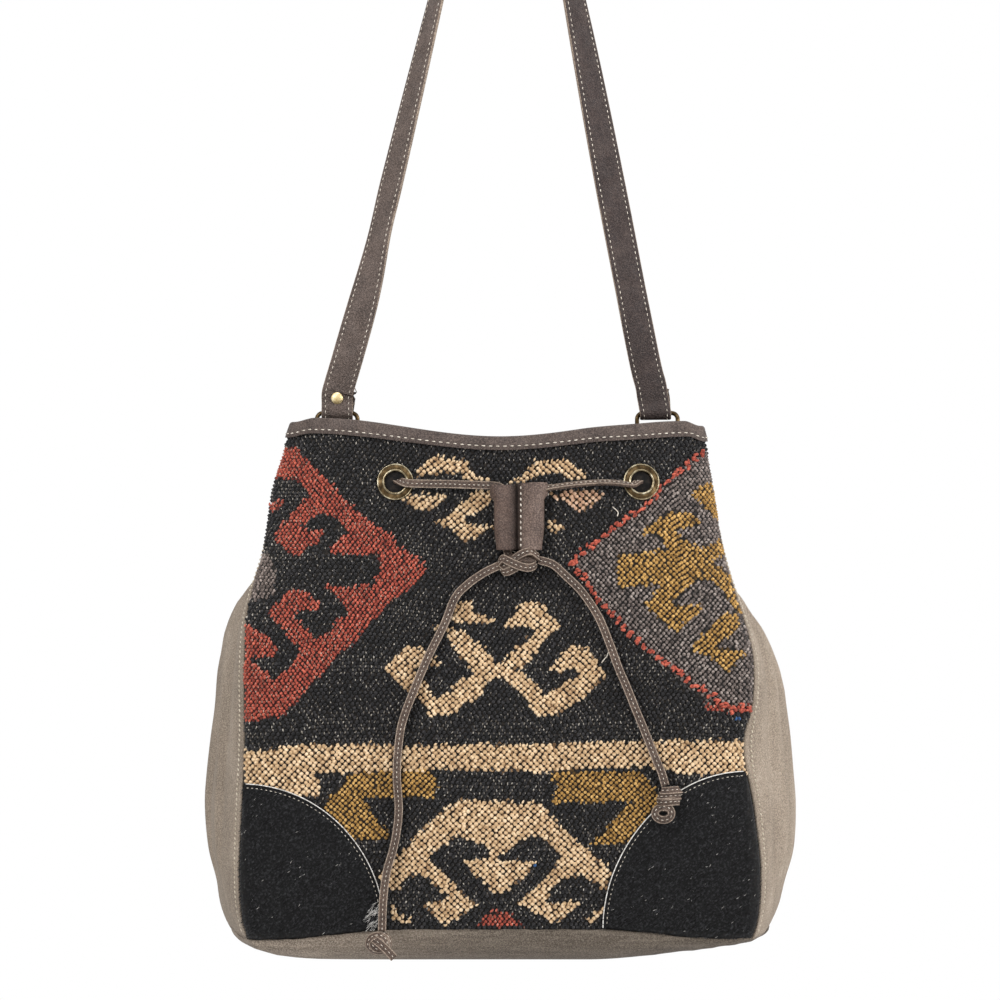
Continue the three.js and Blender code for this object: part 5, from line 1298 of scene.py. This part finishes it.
def base_dish():
    ring = wall_grid(np.arange(COLUMNS), [0.0])[0]
    rows, flat_share = [], 0.66
    steps = np.sin(np.linspace(0, math.pi / 2, 14))
    for thickness in (0.0, CANVAS_THICKNESS):
        floor = BASE_UNDERSIDE + thickness
        flat = np.full(COLUMNS, floor)
        grid = [np.stack([ring[:, 0] * k, ring[:, 1] * k, flat], axis=1) for k in (0.02, 0.2, 0.4, 0.55)]
        for u in steps:
            share = mix(flat_share, 1, u) - thickness * 0.004 * u
            top = ring[:, 2] - 0.3
            height = floor + (top - floor) * (1 - math.sqrt(max(0.0, 1 - u * u)))
            grid.append(np.stack([ring[:, 0] * share, ring[:, 1] * share, height], axis=1))
        rows.append(np.array(grid))
    outer, inner = rows
    ripple = 0.35 * np.sin(outer[..., 0] * 0.21) * np.sin(outer[..., 1] * 0.19 + 1)
    ripple += 0.25 * np.sin(outer[..., 0] * 0.5)
    for grid in (outer, inner):
        wall_share = np.clip((grid[..., 2] - BASE_UNDERSIDE) / 16, 0, 1)
        grid[..., 2] += RIGHT_CORNER_LIFT * ease(55, 150, grid[..., 0]) * (1 - wall_share)
    outer[..., 2] += ripple * ease(0, 8, outer[..., 2] - BASE_UNDERSIDE)
    piece = shell("base_canvas_dish", outer, inner, BASE_CANVAS, closed=True)
    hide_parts("base_panel")


base_dish()


def lining_sack():
    depth = wall_depth()
    levels = np.linspace(0.04, 0.985, 32)
    rows_out, rows_in = [], []
    for v in levels:
        slack = 3 * (1 - ease(0.7, 0.86, v))
        points, inward = loop_level(v)
        rows_out.append(points + inward * (depth - LINING_THICKNESS + slack)[:, None])
        rows_in.append(points + inward * (depth + slack)[:, None])
    for rows, lift in ((rows_out, 0.0), (rows_in, LINING_THICKNESS)):
        foot = rows[0]
        floor = BASE_UNDERSIDE + 4.5 + lift
        for share in (0.9, 0.7, 0.4, 0.02):
            ring = foot.copy()
            ring[:, :2] *= share
            ring[:, 2] = mix(floor, foot[:, 2], max(0.0, (share - 0.7) / 0.3) ** 2)
            rows.insert(0, ring)
    outer, inner = np.array(rows_out), np.array(rows_in)
    piece = shell("lining_sack", outer, inner, LINING_CLOTH, closed=True)
    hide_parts("lining")


lining_sack()

# Seam stitching on the sides


def seam_stitches(name, grid, normals, column_at, skip_top):
    rows = grid.shape[0] - skip_top
    line, face = [], []
    for row in range(1, rows):
        distances = running_length(grid[row])
        if column_at < 0:
            distances = distances[-1] - distances
        k = int(np.argmin(np.abs(distances - abs(column_at))))
        line.append(grid[row, k])
        face.append(normals[row, k])
    line, face = np.array(line), np.array(face)
    for _ in range(6):
        line[1:-1] = (line[:-2] + line[1:-1] + line[2:]) / 3
    return stitch_line(name, line, face, 3.1, 2.5, 1.1, BEIGE_THREAD, "canvas", slant=0.55, lift=0.3)


for side, sign, panel in (("left", -1, (left_grid, left_normals)), ("right", 1, (right_grid, right_normals))):
    for word, column_at in (("front", sign * SEAM_INSET), ("back", -sign * SEAM_INSET)):
        seam_stitches(f"seam_stitches_{side}_{word}", *panel, column_at, 4)

# Mouth binding with its stitches


def binding():
    points, inward = loop_level(1.0)
    lower, _ = loop_level(1 - BINDING_DEPTH / 320)
    depth = wall_depth()
    skin = 2.05
    slope = (points - lower) / BINDING_DEPTH
    slope[:, 2] = 1
    drop = BINDING_DEPTH - skin - 1.2 * (1 - ease(20, 100, np.abs(points[:, 0])))
    section = [
        (-skin + 0.2, -1), (-skin, -0.94), (-skin - 0.15, -0.5), (-skin, 0.9), (-skin + 0.5, 1.7),
        (-skin + 1.1, skin),
        (None, skin), (None, 1.6), (None, 0.9), (None, -0.94), (None, -1),
        ("in", -1), ("in", 0.2), (-0.5, 0.4), (-0.5, -1),
    ]
    inner_offsets = {6: skin - 1.1, 7: skin - 0.4, 8: skin, 9: skin, 10: skin - 0.2}
    rings = []
    for k, (offset, rise) in enumerate(section):
        if offset is None:
            away = depth + inner_offsets[k]
        elif offset == "in":
            away = depth + 0.5
        else:
            away = np.full(COLUMNS, offset)
        height = (drop * rise if rise < 0 else np.full(COLUMNS, rise))[:, None]
        rings.append(points + inward * away[:, None] + slope * height)
    grid = np.array(rings).transpose(1, 0, 2)
    faces = ring_faces(*grid.shape[:2])[:, ::-1]
    piece = make_object("mouth_binding_strip", grid.reshape(-1, 3), faces, LEATHER)
    sharpen(piece, 50)
    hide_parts("mouth_binding")
    outside, inside = np.full(COLUMNS, -skin - 0.15), depth + skin + 0.05
    for name, away, sign in (("outer", outside, 1), ("inner", inside, -1)):
        line = points + inward * away[:, None] - slope * (drop - 2.5)[:, None]
        line = np.vstack([line, line[:1]])
        face = np.vstack([-inward * sign, -inward[:1] * sign])
        stitch_line(f"binding_stitches_{name}", line, face, 4.5, 2.9, 0.8, THREAD, "leather", lift=0.1)


binding()

# Hide corner patches with their raw edge, stitches and short hair


def patch_columns(side, steps):
    """Outline of a patch as (x, height) pairs along its arc, from the seam down to the base."""
    reach, rise = PATCHES[side]
    inner_x = float(seam_x(np.array(PATCH_LEVEL), side)) - PATCH_GAP - reach
    foot = float(panel_foot(inner_x)) + PATCH_GAP
    angle = np.linspace(math.pi / 2, 0, steps)
    height = foot + (FOOT_AT_CORNER + rise - foot) * np.sin(angle)
    edge = seam_x(height, side) - PATCH_GAP
    x = edge - (edge - inner_x) * np.cos(angle)
    return side * x, height


def patch_point(x, height, lift):
    point, outward = face_at(x, height, -1)
    return point + outward * lift, outward


def patch_surface(side, us, vs, lift):
    """Points of a patch by share along the arc (us) and from the corner out to the arc (vs)."""
    arc_x, arc_z = patch_columns(side, len(us))
    rows, faces = [], []
    for v in vs:
        corner_z = np.full(len(us), PATCH_CORNER_HEIGHT)
        corner_x = side * (seam_x(corner_z, side) - PATCH_CORNER_INSET)
        seam_z = mix(PATCH_CORNER_HEIGHT, arc_z, v)
        x = mix(corner_x, arc_x, v)
        limit = seam_x(seam_z, side) - 1.2
        x = side * np.minimum(np.abs(x), limit)
        low = panel_foot(x) + 1.0
        z = np.maximum(seam_z, low)
        point, outward = patch_point(x, z, lift)
        rows.append(point)
        faces.append(outward)
    return np.array(rows), np.array(faces)


def hide_patch(side):
    word = "left" if side < 0 else "right"
    us, vs = np.linspace(0, 1, 61), np.linspace(0.0, 1, 40)
    outer, outward = patch_surface(side, us, vs, PATCH_FACE)
    inner, _ = patch_surface(side, us, vs, PATCH_BACK)
    rim = ease(0.94, 1, vs)[:, None, None]
    outer = outer - outward * rim * 0.35
    if side < 0:
        outer, inner, outward = outer[:, ::-1], inner[:, ::-1], outward[:, ::-1]
    piece = shell(f"hide_patch_{word}", outer, inner, HIDE)
    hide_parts(f"corner_patch_{word}")
    arc_x, arc_z = patch_columns(side, 160)
    keep = (arc_z > panel_foot(arc_x) + 1) & (np.abs(arc_x) < seam_x(arc_z, side) - 2.5)
    arc_x, arc_z = arc_x[keep], arc_z[keep]
    edge, face = patch_point(arc_x, arc_z, 1.5)
    sweep(f"hide_raw_edge_{word}", edge, face, band_section(0.6, 1.0, 0.25, 2), WHITE_HAIR)
    centre_x = side * (seam_x(np.array(PATCH_CORNER_HEIGHT), side) - PATCH_CORNER_INSET)
    inset_x, inset_z = mix(centre_x, arc_x, 0.974), mix(PATCH_CORNER_HEIGHT, arc_z, 0.974)
    low = inset_z > panel_foot(inset_x) + 3
    line, face = patch_point(inset_x[low], inset_z[low], 2.0)
    stitch_line(f"hide_stitches_{word}", line, face, 3.1, 1.9, 0.5, THREAD, "hair_on_hide", lift=0.2)
    hair(word, side)


WHITE_TUFT = [(373, 903), (379, 900), (381, 926), (366, 930), (364, 918)]
BLADE_POINTS = [[-1, -1, 0], [-1, 1, 0], [1, 0.15, 0.9], [1, -0.15, 0.9], [0, -0.8, 0.75], [0, 0.8, 0.75]]
BLADE = (np.array(BLADE_POINTS, float), np.array([[0, 4, 5], [0, 5, 1], [4, 3, 2], [4, 2, 5]]))


def hair(word, side):
    reach, rise = PATCHES[side]
    x = side * rng.uniform(seam_x(np.array(PATCH_LEVEL), side) - reach - 2, HAIR_END_X, HAIR_COUNT)
    z = rng.uniform(22, 22 + rise, HAIR_COUNT)
    keep = (patch_share(x, z) < 0.985) & (np.abs(x) < seam_x(z, side) - 2) & (z > panel_foot(x) + 2)
    x, z = x[keep], z[keep]
    point, outward = patch_point(x, z, 1.95)
    angle = rng.normal(0.75, 0.22, len(x))
    rise_dir, side_dir = upright(outward)
    along = rise_dir * np.sin(angle)[:, None] + side_dir * np.cos(angle)[:, None]
    across = np.cross(outward, along)
    sizes = np.stack([rng.uniform(low, high, len(x)) for low, high in HAIR_HALF_SIZES], axis=1)
    white = rng.random(len(x)) < WHITE_HAIR_SHARE
    sizes[white] *= [0.45, 0.8, 0.8]
    if side < 0:
        pixels = to_photo(point)
        white |= inside_outline(pixels, WHITE_TUFT) & (rng.random(len(x)) < 0.3)
    for name, pick, material in (("hide_hair_", ~white, HAIR), ("hide_white_hair_", white, WHITE_HAIR)):
        picked = [values[pick] for values in (point, along, across, outward, sizes)]
        scatter(name + word, BLADE, *picked, material, "hair_on_hide")


for patch_side in (-1, 1):
    hide_patch(patch_side)

# Metal fittings


def lathe(name, outline, centre, axis, material, body="bag", segments=48):
    """Turns a closed (radius, rise) outline about an axis."""
    axis = unit(np.array(axis, float))
    helper = np.array([1.0, 0, 0]) if abs(axis[0]) < 0.9 else np.array([0, 0, 1.0])
    side = unit(np.cross(axis, helper))
    other = np.cross(axis, side)
    turn = np.linspace(0, 2 * math.pi, segments, endpoint=False)
    shape = np.array(outline, float)
    spokes = side * np.cos(turn)[:, None] + other * np.sin(turn)[:, None]
    rings = (np.array(centre, float) + spokes[:, None, :] * shape[None, :, 0:1]
             + axis * shape[None, :, 1:2])
    faces = []
    count = len(shape)
    for k in range(segments):
        following = (k + 1) % segments
        for j in range(count):
            ahead = (j + 1) % count
            faces.append([k * count + j, following * count + j, following * count + ahead, k * count + ahead])
    return sharpen(make_object(name, rings.reshape(-1, 3), faces, material, body), 60)


def ring_outline(inner, outer, base, height, bead):
    """Rounded washer outline with a rolled inner lip."""
    points = [(inner, base - 0.2), (outer, base)]
    for k in range(7):
        angle = math.pi * k / 12
        points.append((outer - 0.6 + 0.6 * math.cos(angle), base + 0.2 + (height - 0.7) * math.sin(angle)))
    for k in range(1, 9):
        angle = math.pi / 2 + math.pi * 0.55 * k / 8
        points.append((inner + bead + bead * math.cos(angle), base + height - bead + bead * math.sin(angle)))
    return points


for face, word in ((-1, "front"), (1, "back")):
    for x, side in ((EYELET_LEFT_X, "left"), (EYELET_RIGHT_X, "right")):
        point, outward = face_at(np.array([x]), np.array([EYELET_HEIGHT]), face)
        wall = (RUG_THICKNESS if face < 0 else CANVAS_THICKNESS) + LINING_GAP + LINING_THICKNESS
        washer_outline = ring_outline(EYELET_BORE_RADIUS, EYELET_RADIUS, 0.1, 1.3, 0.6)
        flange = lathe(f"eyelet_flange_{word}_{side}", washer_outline, point[0], outward[0], DARK_BRASS)
        # The rolled rim and lip take the lighter brass: rubbed wear and painted highlight on the rolled edges
        for rim, radius, bead, rise in (("rim", 11.2, 0.5, 1.0), ("lip", 7.6, 0.75, 1.25)):
            angles = np.linspace(0, 6.28, 13)[:-1]
            roll = [(radius + bead * math.cos(a), rise + bead * math.sin(a)) for a in angles]
            lathe(f"eyelet_{rim}_{word}_{side}", roll, point[0], outward[0], RUBBED_HIGHLIGHT_BRASS)
        barrel = [(EYELET_BORE_RADIUS, 0.9), (EYELET_BARREL_RADIUS, 0.9),
                  (EYELET_BARREL_RADIUS, -wall - 2.2), (EYELET_BORE_RADIUS, -wall - 2.2)]
        lathe(f"eyelet_barrel_{word}_{side}", barrel, point[0], outward[0], DARK_BRASS)
        washer = lathe(f"eyelet_back_ring_{word}_{side}", ring_outline(EYELET_BORE_RADIUS, 11.6, 0, 1.1, 0.5),
                       point[0] - outward[0] * (wall + 1.0), -outward[0], DARK_BRASS)
        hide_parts(f"eyelet_{word}_{side}")
        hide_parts(f"eyelet_washer_{word}_{side}")


def ring_path(x, count=160):
    """Centre line of a D-ring: straight foot bar below, broad bow above."""
    half = RING_WIDTH / 2 - RING_WIRE_RADIUS
    low, high = RING_FOOT_BEND, RING_BOW_BEND
    bends = [(-half + low, RING_BAR + low, low, 180), (half - low, RING_BAR + low, low, 270),
             (half - high, STRAP_BAR - high, high, 0), (-half + high, STRAP_BAR - high, high, 90)]
    points = []
    for cx, cz, radius, start in bends:
        for k in range(9):
            angle = math.radians(start + 90 * k / 8)
            points.append((x + cx + radius * math.cos(angle), 0, cz + radius * math.sin(angle)))
    points.append(points[0])
    return resample(np.array(points), count)


def round_section(radius, sides=12):
    turns = [2 * math.pi * k / sides for k in range(sides)]
    return [(radius * math.cos(turn), radius * math.sin(turn)) for turn in turns]


def closed_sweep(name, path, section, material, body):
    """Round wire along a closed flat path in the XZ plane."""
    loop = path[:-1]
    tangent = unit(np.roll(loop, -1, axis=0) - np.roll(loop, 1, axis=0))
    face = np.broadcast_to(np.array([0.0, -1, 0]), loop.shape)
    sideways = np.cross(tangent, face)
    outline = np.array(section)
    rings = (loop[:, None, :] + sideways[:, None, :] * outline[None, :, :1]
             + face[:, None, :] * outline[None, :, 1:])
    return make_object(name, rings.reshape(-1, 3), ring_faces(*rings.shape[:2]), material, body)


for x, side in ((RING_LEFT_X, "left"), (RING_RIGHT_X, "right")):
    ring = closed_sweep(f"d_ring_wire_{side}", ring_path(x), round_section(RING_WIRE_RADIUS), DARK_BRASS,
                        f"d_ring_{side}")
    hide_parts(f"d_ring_{side}")


def ring_tab(x, side):
    """Folded leather tab over the ring's foot bar and down both faces of the fin."""
    inside = FIN_HALF_THICKNESS + CANVAS_THICKNESS + LINING_THICKNESS + 1.5 + 0.55 + 0.9
    mid = inside + TAB_THICKNESS / 2
    shoulder = RING_BAR - 12.5
    foot = shoulder - 27
    crown = RING_WIRE_RADIUS + 0.4 + TAB_THICKNESS / 2
    keys = [(-mid, foot), (-mid, foot + 9), (-mid, foot + 18), (-mid, shoulder), (-mid + 0.9, shoulder + 3),
            (-crown - 0.6, RING_BAR - 4), (-crown, RING_BAR)]
    keys += [(-crown * math.cos(a), RING_BAR + crown * math.sin(a)) for a in (0.8, 1.57, 2.34)]
    keys += [(-y, z) for y, z in keys[6::-1]]
    path = curve_points([(x, y, z) for y, z in keys], 120)
    tangent = unit(np.gradient(path, axis=0))
    face = np.cross(np.array([1.0, 0, 0]), tangent)
    face = np.where((face * (path - [x, 0, foot + 15])).sum(axis=1)[:, None] < 0, -face, face)
    section = band_section(TAB_WIDTH, TAB_THICKNESS, 0.5)
    piece = sweep(f"ring_tab_band_{side}", path, face, section, LEATHER)
    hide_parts(f"ring_tab_{side}")
    for sign, word in ((-1, "front"), (1, "back")):
        corners = [(x - 7, foot + 2), (x + 7, foot + 2), (x + 7, shoulder - 1), (x - 7, shoulder - 1),
                   (x - 7, foot + 2)]
        line = resample(np.array([(px, sign * (mid + 0.85), pz) for px, pz in corners]), 60)
        outward = np.broadcast_to([0.0, sign, 0], line.shape)
        stitch_line(f"tab_stitches_{side}_{word}", line, outward, 3.7, 2.3, 0.6, THREAD, "leather", lift=0.05)


ring_tab(RING_LEFT_X, "left")
ring_tab(RING_RIGHT_X, "right")

# Shoulder strap: one long band that goes round each ring and up to the hang point
APEX_HEIGHT = HANG_HEIGHT + STRAP_THICKNESS / 2
LEG_START = STRAP_BAR + 13
FRONT_LAYER = -(STRAP_LAYER_GAP + STRAP_THICKNESS / 2)
left_turn = profile([[0, 0], [0.1, 0.12], [0.22, 0.5], [0.3, 0.5], [0.56, 0.69], [0.85, 1], [1, 1]])
right_turn = profile([[0, 0], [0.12, 0.14], [0.28, 0.16], [0.56, 0.5], [0.85, 1], [1, 1]])


def leg_keys():
    rise = APEX_HEIGHT - LEG_START

    def at(ring_x, share, lean, y):
        return [mix(ring_x, APEX_X, share) + lean, y, LEG_START + rise * share]

    left = [at(RING_LEFT_X, 0.012, 0.3, FRONT_LAYER), at(RING_LEFT_X, 0.06, 1.2, FRONT_LAYER),
            at(RING_LEFT_X, 0.16, 2.2, -1.1), at(RING_LEFT_X, 0.28, 1, -1), at(RING_LEFT_X, 0.56, -0.5, -0.6),
            at(RING_LEFT_X, 0.8, -1.4, -0.3)]
    right = [at(RING_RIGHT_X, 0.8, -1.5, -0.3), at(RING_RIGHT_X, 0.56, -1.5, -0.6),
             at(RING_RIGHT_X, 0.28, -3, -1), at(RING_RIGHT_X, 0.06, -4, FRONT_LAYER),
             at(RING_RIGHT_X, 0.012, -3.3, FRONT_LAYER)]
    top = [[APEX_X - 10, 0, LEG_START + rise * 0.94], [APEX_X - 5.6, 0, LEG_START + rise * 0.985],
           [APEX_X, 0, APEX_HEIGHT], [APEX_X + 5.6, 0, LEG_START + rise * 0.985],
           [APEX_X + 10, 0, LEG_START + rise * 0.94]]
    return left + top + right


def end_loop(x, drift, back=0.0, lean=0.0):
    """Path of the strap's end round the ring's bow, from the front layer down and up behind."""
    radius = RING_WIRE_RADIUS + RING_PLAY + STRAP_THICKNESS / 2
    points = [(x - 12 * lean, FRONT_LAYER, STRAP_BAR + 12), (x - 7 * lean, FRONT_LAYER - 0.1, STRAP_BAR + 7),
              (x - 3 * lean, -radius + 0.4, STRAP_BAR + 3)]
    for k in range(9):
        angle = math.pi * k / 8
        points.append((x, -radius * math.cos(angle), STRAP_BAR - radius * math.sin(angle)))
    behind = back - FRONT_LAYER
    points += [(x + drift * 0.3, radius - 0.4, STRAP_BAR + 3), (x + drift * 0.6, behind + 0.1, STRAP_BAR + 7),
               (x + drift, behind, STRAP_BAR + 11), (x + drift * 1.3, behind, STRAP_BAR + 15)]
    return points


def strap():
    left_loop = end_loop(RING_LEFT_X, 2.2)[::-1]
    right_loop = end_loop(RING_RIGHT_X - 1.2, -0.8, 1.3, 0.18)
    keys = left_loop + leg_keys() + right_loop
    path = curve_points(keys, 760)
    tangent = unit(np.gradient(path, axis=0))
    share = (path[:, 2] - LEG_START) / (APEX_HEIGHT - LEG_START)
    on_left = path[:, 0] < APEX_X
    turn = np.where(on_left, left_turn(share), right_turn(share) * ease(0.05, 0.14, share)) * math.pi / 2
    in_loop = path[:, 2] < LEG_START
    turn = np.where(in_loop, 0, turn)
    flat = unit(np.stack([tangent[:, 2], np.zeros(len(path)), -tangent[:, 0]], axis=1))
    apex_index = int(np.argmax(path[:, 2]))
    width = flat * np.cos(turn)[:, None] + np.array([0, -1, 0]) * np.sin(turn)[:, None]
    loop_width = np.broadcast_to(np.array([1.0, 0, 0]), width.shape)
    before = np.arange(len(path)) < apex_index
    width = np.where((in_loop & before)[:, None], loop_width, width)
    width = np.where((in_loop & ~before)[:, None], -loop_width, width)
    width = unit(width - (width * tangent).sum(axis=1)[:, None] * tangent)
    for _ in range(8):
        width[1:-1] = unit(width[:-2] + width[1:-1] + width[2:])
    face = np.cross(tangent, width)
    section = band_section(STRAP_WIDTH, STRAP_THICKNESS, 0.7)
    piece = sweep("shoulder_strap_band", path, face, section, STRAP_LEATHER, "strap")
    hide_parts("shoulder_strap")
    piece.data.materials.append(DARK_STRAP)
    centres = np.array([polygon.center[0] for polygon in piece.data.polygons]) * 1000 - BAG_TO_ROW[0]
    piece.data.polygons.foreach_set("material_index", (centres > APEX_X).astype(int).tolist())
    for sign, word in ((1, "outer"), (-1, "inner")):
        for edge, side in ((-1, "a"), (1, "b")):
            line = path + width * edge * (STRAP_WIDTH / 2 - STRAP_STITCH_INSET)
            line = line + face * sign * (STRAP_THICKNESS / 2)
            stitch_line(f"strap_stitches_{word}_{side}", line, face * sign, 3.7, 2.3, 0.62, THREAD,
                        "strap_leather", "strap", lift=0.04)
    for edge, side in ((-1, "a"), (1, "b")):
        line = path + width * edge * (STRAP_WIDTH / 2 + 0.02)
        section = band_section(0.5, STRAP_THICKNESS - 0.7, 0.2, 2)
        sweep(f"strap_cut_edge_{side}", line, face, section, CUT_EDGE, "strap")


strap()

RIVET_PLACE = (RING_LEFT_X, 0, STRAP_BAR + 9.5)
RIVET_FACE = STRAP_LAYER_GAP + STRAP_THICKNESS
CAP_OUTLINE = [
    (0.01, RIVET_FACE), (3.9, RIVET_FACE), (3.9, RIVET_FACE + 0.5), (3.5, RIVET_FACE + 1.1),
    (2.6, RIVET_FACE + 1.5), (1.3, RIVET_FACE + 1.75), (0.01, RIVET_FACE + 1.85),
]
POST_OUTLINE = [
    (0.01, -RIVET_FACE), (1.4, -RIVET_FACE), (1.4, RIVET_FACE), (3.9, RIVET_FACE), (3.9, RIVET_FACE + 0.5),
    (3.3, RIVET_FACE + 1.0), (0.01, RIVET_FACE + 1.1),
]
cap = lathe("rivet_cap_dome", CAP_OUTLINE, RIVET_PLACE, (0, -1, 0), BRIGHT_BRASS, "strap")
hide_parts("rivet_cap")
post = lathe("rivet_post_head", POST_OUTLINE, RIVET_PLACE, (0, 1, 0), BRIGHT_BRASS, "strap")
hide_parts("rivet_post")

# Slider: two upright channels with a stitched seam between them, flared at the top


SLIDER_X = 12.1
SLIDER_TOP = 309.0
SLIDER_HEIGHT = 42.0
SLIDER_HALF_WIDTH = 15.9
SLIDER_WALL = 1.2
SLIDER_GAP = 4.8


def slider():
    foot = SLIDER_TOP - SLIDER_HEIGHT
    foot_y = float(face_at(np.array([SLIDER_X]), np.array([foot]), -1)[0][0, 1])
    top_y = float(face_at(np.array([SLIDER_X]), np.array([SLIDER_TOP]), -1)[0][0, 1])
    levels = np.linspace(0, 1, 40)
    turn = np.linspace(0, 2 * math.pi, 121)[:-1]
    outer, inner = [], []
    for level in levels:
        flare = 1 + 0.17 * ease(0.74, 1, level) - 0.09 * (1 - ease(0, 0.35, level))
        half = SLIDER_HALF_WIDTH * flare
        x = half * np.cos(turn)
        front = np.maximum(0, -np.sin(turn))
        behind = np.maximum(0, np.sin(turn))
        left = np.sqrt(np.maximum(0, 1 - ((x / half + 0.53) / 0.47) ** 2))
        right = np.sqrt(np.maximum(0, 1 - ((x / half - 0.47) / 0.53) ** 2))
        bulge = (0.3 + 7.2 * np.maximum(left, right)) * np.minimum(1, front * 4)
        back = 2.9 * np.minimum(1, behind * 3)
        wobble = 0.3 * np.sin(11 * level + 5 * x / half) * front
        dip = 5.5 * (1 - np.minimum(1, front * 3.5)) * ease(0.7, 1, level)
        z = foot + SLIDER_HEIGHT * level + 0.9 * np.sin(2.2 * x / half) * level - dip
        y = mix(foot_y, top_y, level) - SLIDER_GAP
        outer.append(np.stack([SLIDER_X + x, y - bulge + back + wobble, z], axis=1))
        x_in = x * (1 - SLIDER_WALL / half)
        y_in = y - np.maximum(bulge - SLIDER_WALL, 0.0) + np.maximum(back - SLIDER_WALL, 0.0) + wobble
        inner.append(np.stack([SLIDER_X + x_in, y_in, z], axis=1))
    piece = shell("slider_channels", np.array(outer), np.array(inner), SLIDER_LEATHER, closed=True)
    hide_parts("cord_slider")
    shares = np.linspace(0.03, 0.98, 30)
    line = np.array([
        [SLIDER_X + 1.2, mix(foot_y, top_y, s) - 9.9, foot + SLIDER_HEIGHT * s] for s in shares])
    face = np.broadcast_to([-0.5, -0.87, 0], line.shape)
    stitch_line("slider_seam_stitches", line, face, 3.4, 2.4, 1.0, THREAD, "leather", slant=0.2, lift=0.3)


slider()

# Loose threads that stand out of the rug
THREADS = [
    [(601, 663), (604, 659), (606, 657), (608, 652)],
    [(612, 507), (615, 510), (617, 513), (616, 517)],
    [(514, 540), (511, 545), (512, 549), (509, 553)],
    [(508, 541), (509, 546), (511, 551), (515, 553)],
]
for index, thread in enumerate(THREADS):
    pixels = np.array(thread, float)
    base_points, base_out = on_front(pixels[:, 0], pixels[:, 1])
    lifts = np.array([0.8, 1.6, 2.6, 4.0])[:, None] if index < 2 else np.array([2.5, 4.0, 4.6, 4.0])[:, None]
    path = curve_points(base_points + base_out * lifts, 24)
    sweep(f"loose_thread_{index}", path, base_out[0], round_section(0.32, 6), THREAD)

# Studio: white backdrop and floor, soft lights


def brighten_what_is_seen(tree, plain, bright, end):
    """Shows the bright shader to the camera and in reflections, and leaves the plain one to light the bag."""
    ray = tree.nodes.new("ShaderNodeLightPath")
    seen = tree.nodes.new("ShaderNodeMath")
    seen.operation = "MAXIMUM"
    either = tree.nodes.new("ShaderNodeMixShader")
    tree.links.new(ray.outputs["Is Camera Ray"], seen.inputs[0])
    tree.links.new(ray.outputs["Is Glossy Ray"], seen.inputs[1])
    tree.links.new(seen.outputs[0], either.inputs[0])
    tree.links.new(plain.outputs[0], either.inputs[1])
    tree.links.new(bright.outputs[0], either.inputs[2])
    tree.links.new(either.outputs[0], end.inputs["Surface"])


def stage():
    m = Material("backdrop_white", roughness=0.95, specular=0.1)
    m.shader.inputs["Base Color"].default_value = (0.82, 0.82, 0.82, 1)
    glow = m.nodes.new("ShaderNodeEmission")
    glow.inputs["Color"].default_value = (1, 1, 1, 1)
    glow.inputs["Strength"].default_value = 1.0
    brighten_what_is_seen(m.data.node_tree, m.shader, glow, m.nodes["Material Output"])
    width, front, back, floor, top = 12.0, -9.0, 9.0, -1.35, 6.0
    bend = [(front, floor), (back - 1.0, floor)]
    for k in range(1, 9):
        angle = math.pi / 2 * k / 8
        bend.append((back - 1.0 + math.sin(angle), floor + 1.0 - math.cos(angle)))
    bend.append((back, top))
    points = [(x, y, z) for x in (-width, width) for y, z in bend]
    count = len(bend)
    faces = [[k, k + count, k + count + 1, k + 1] for k in range(count - 1)]
    mesh = bpy.data.meshes.new("backdrop")
    mesh.from_pydata(points, [], faces)
    mesh.polygons.foreach_set("use_smooth", [True] * len(mesh.polygons))
    mesh.materials.append(m.data)
    backdrop = bpy.data.objects.new("backdrop", mesh)
    bpy.context.scene.collection.objects.link(backdrop)


def area_light(name, place, aim, size, power):
    data = bpy.data.lights.new(name, "AREA")
    data.shape = "SQUARE"
    data.size = size
    data.energy = power
    lamp = bpy.data.objects.new(name, data)
    bpy.context.scene.collection.objects.link(lamp)
    lamp.location = place
    direction = np.array(aim, float) - np.array(place, float)
    pitch = math.acos(-direction[2] / np.linalg.norm(direction))
    lamp.rotation_euler = (pitch, 0, math.atan2(direction[1], direction[0]) - math.pi / 2)


stage()
AIM = (0, 0, -0.65)
area_light("key_light", (-1.7, -2.3, 0.8), AIM, 1.2, 50)
area_light("fill_light", (1.9, -2.0, 0.2), AIM, 1.6, 22)
area_light("side_light", (2.4, -0.5, -0.2), AIM, 1.2, 26)
area_light("top_light", (0.1, -0.4, 1.3), AIM, 1.4, 20)
world = bpy.data.worlds.new("studio_world")
world.use_nodes = True
soft_light = world.node_tree.nodes["Background"]
soft_light.inputs["Color"].default_value = (1, 1, 1, 1)
soft_light.inputs["Strength"].default_value = 0.55
white = world.node_tree.nodes.new("ShaderNodeBackground")
white.inputs["Color"].default_value = (1, 1, 1, 1)
brighten_what_is_seen(world.node_tree, soft_light, white, world.node_tree.nodes["World Output"])
bpy.context.scene.world = world
bpy.context.scene.view_settings.view_transform = "Standard"
bpy.context.scene.view_settings.look = "None"
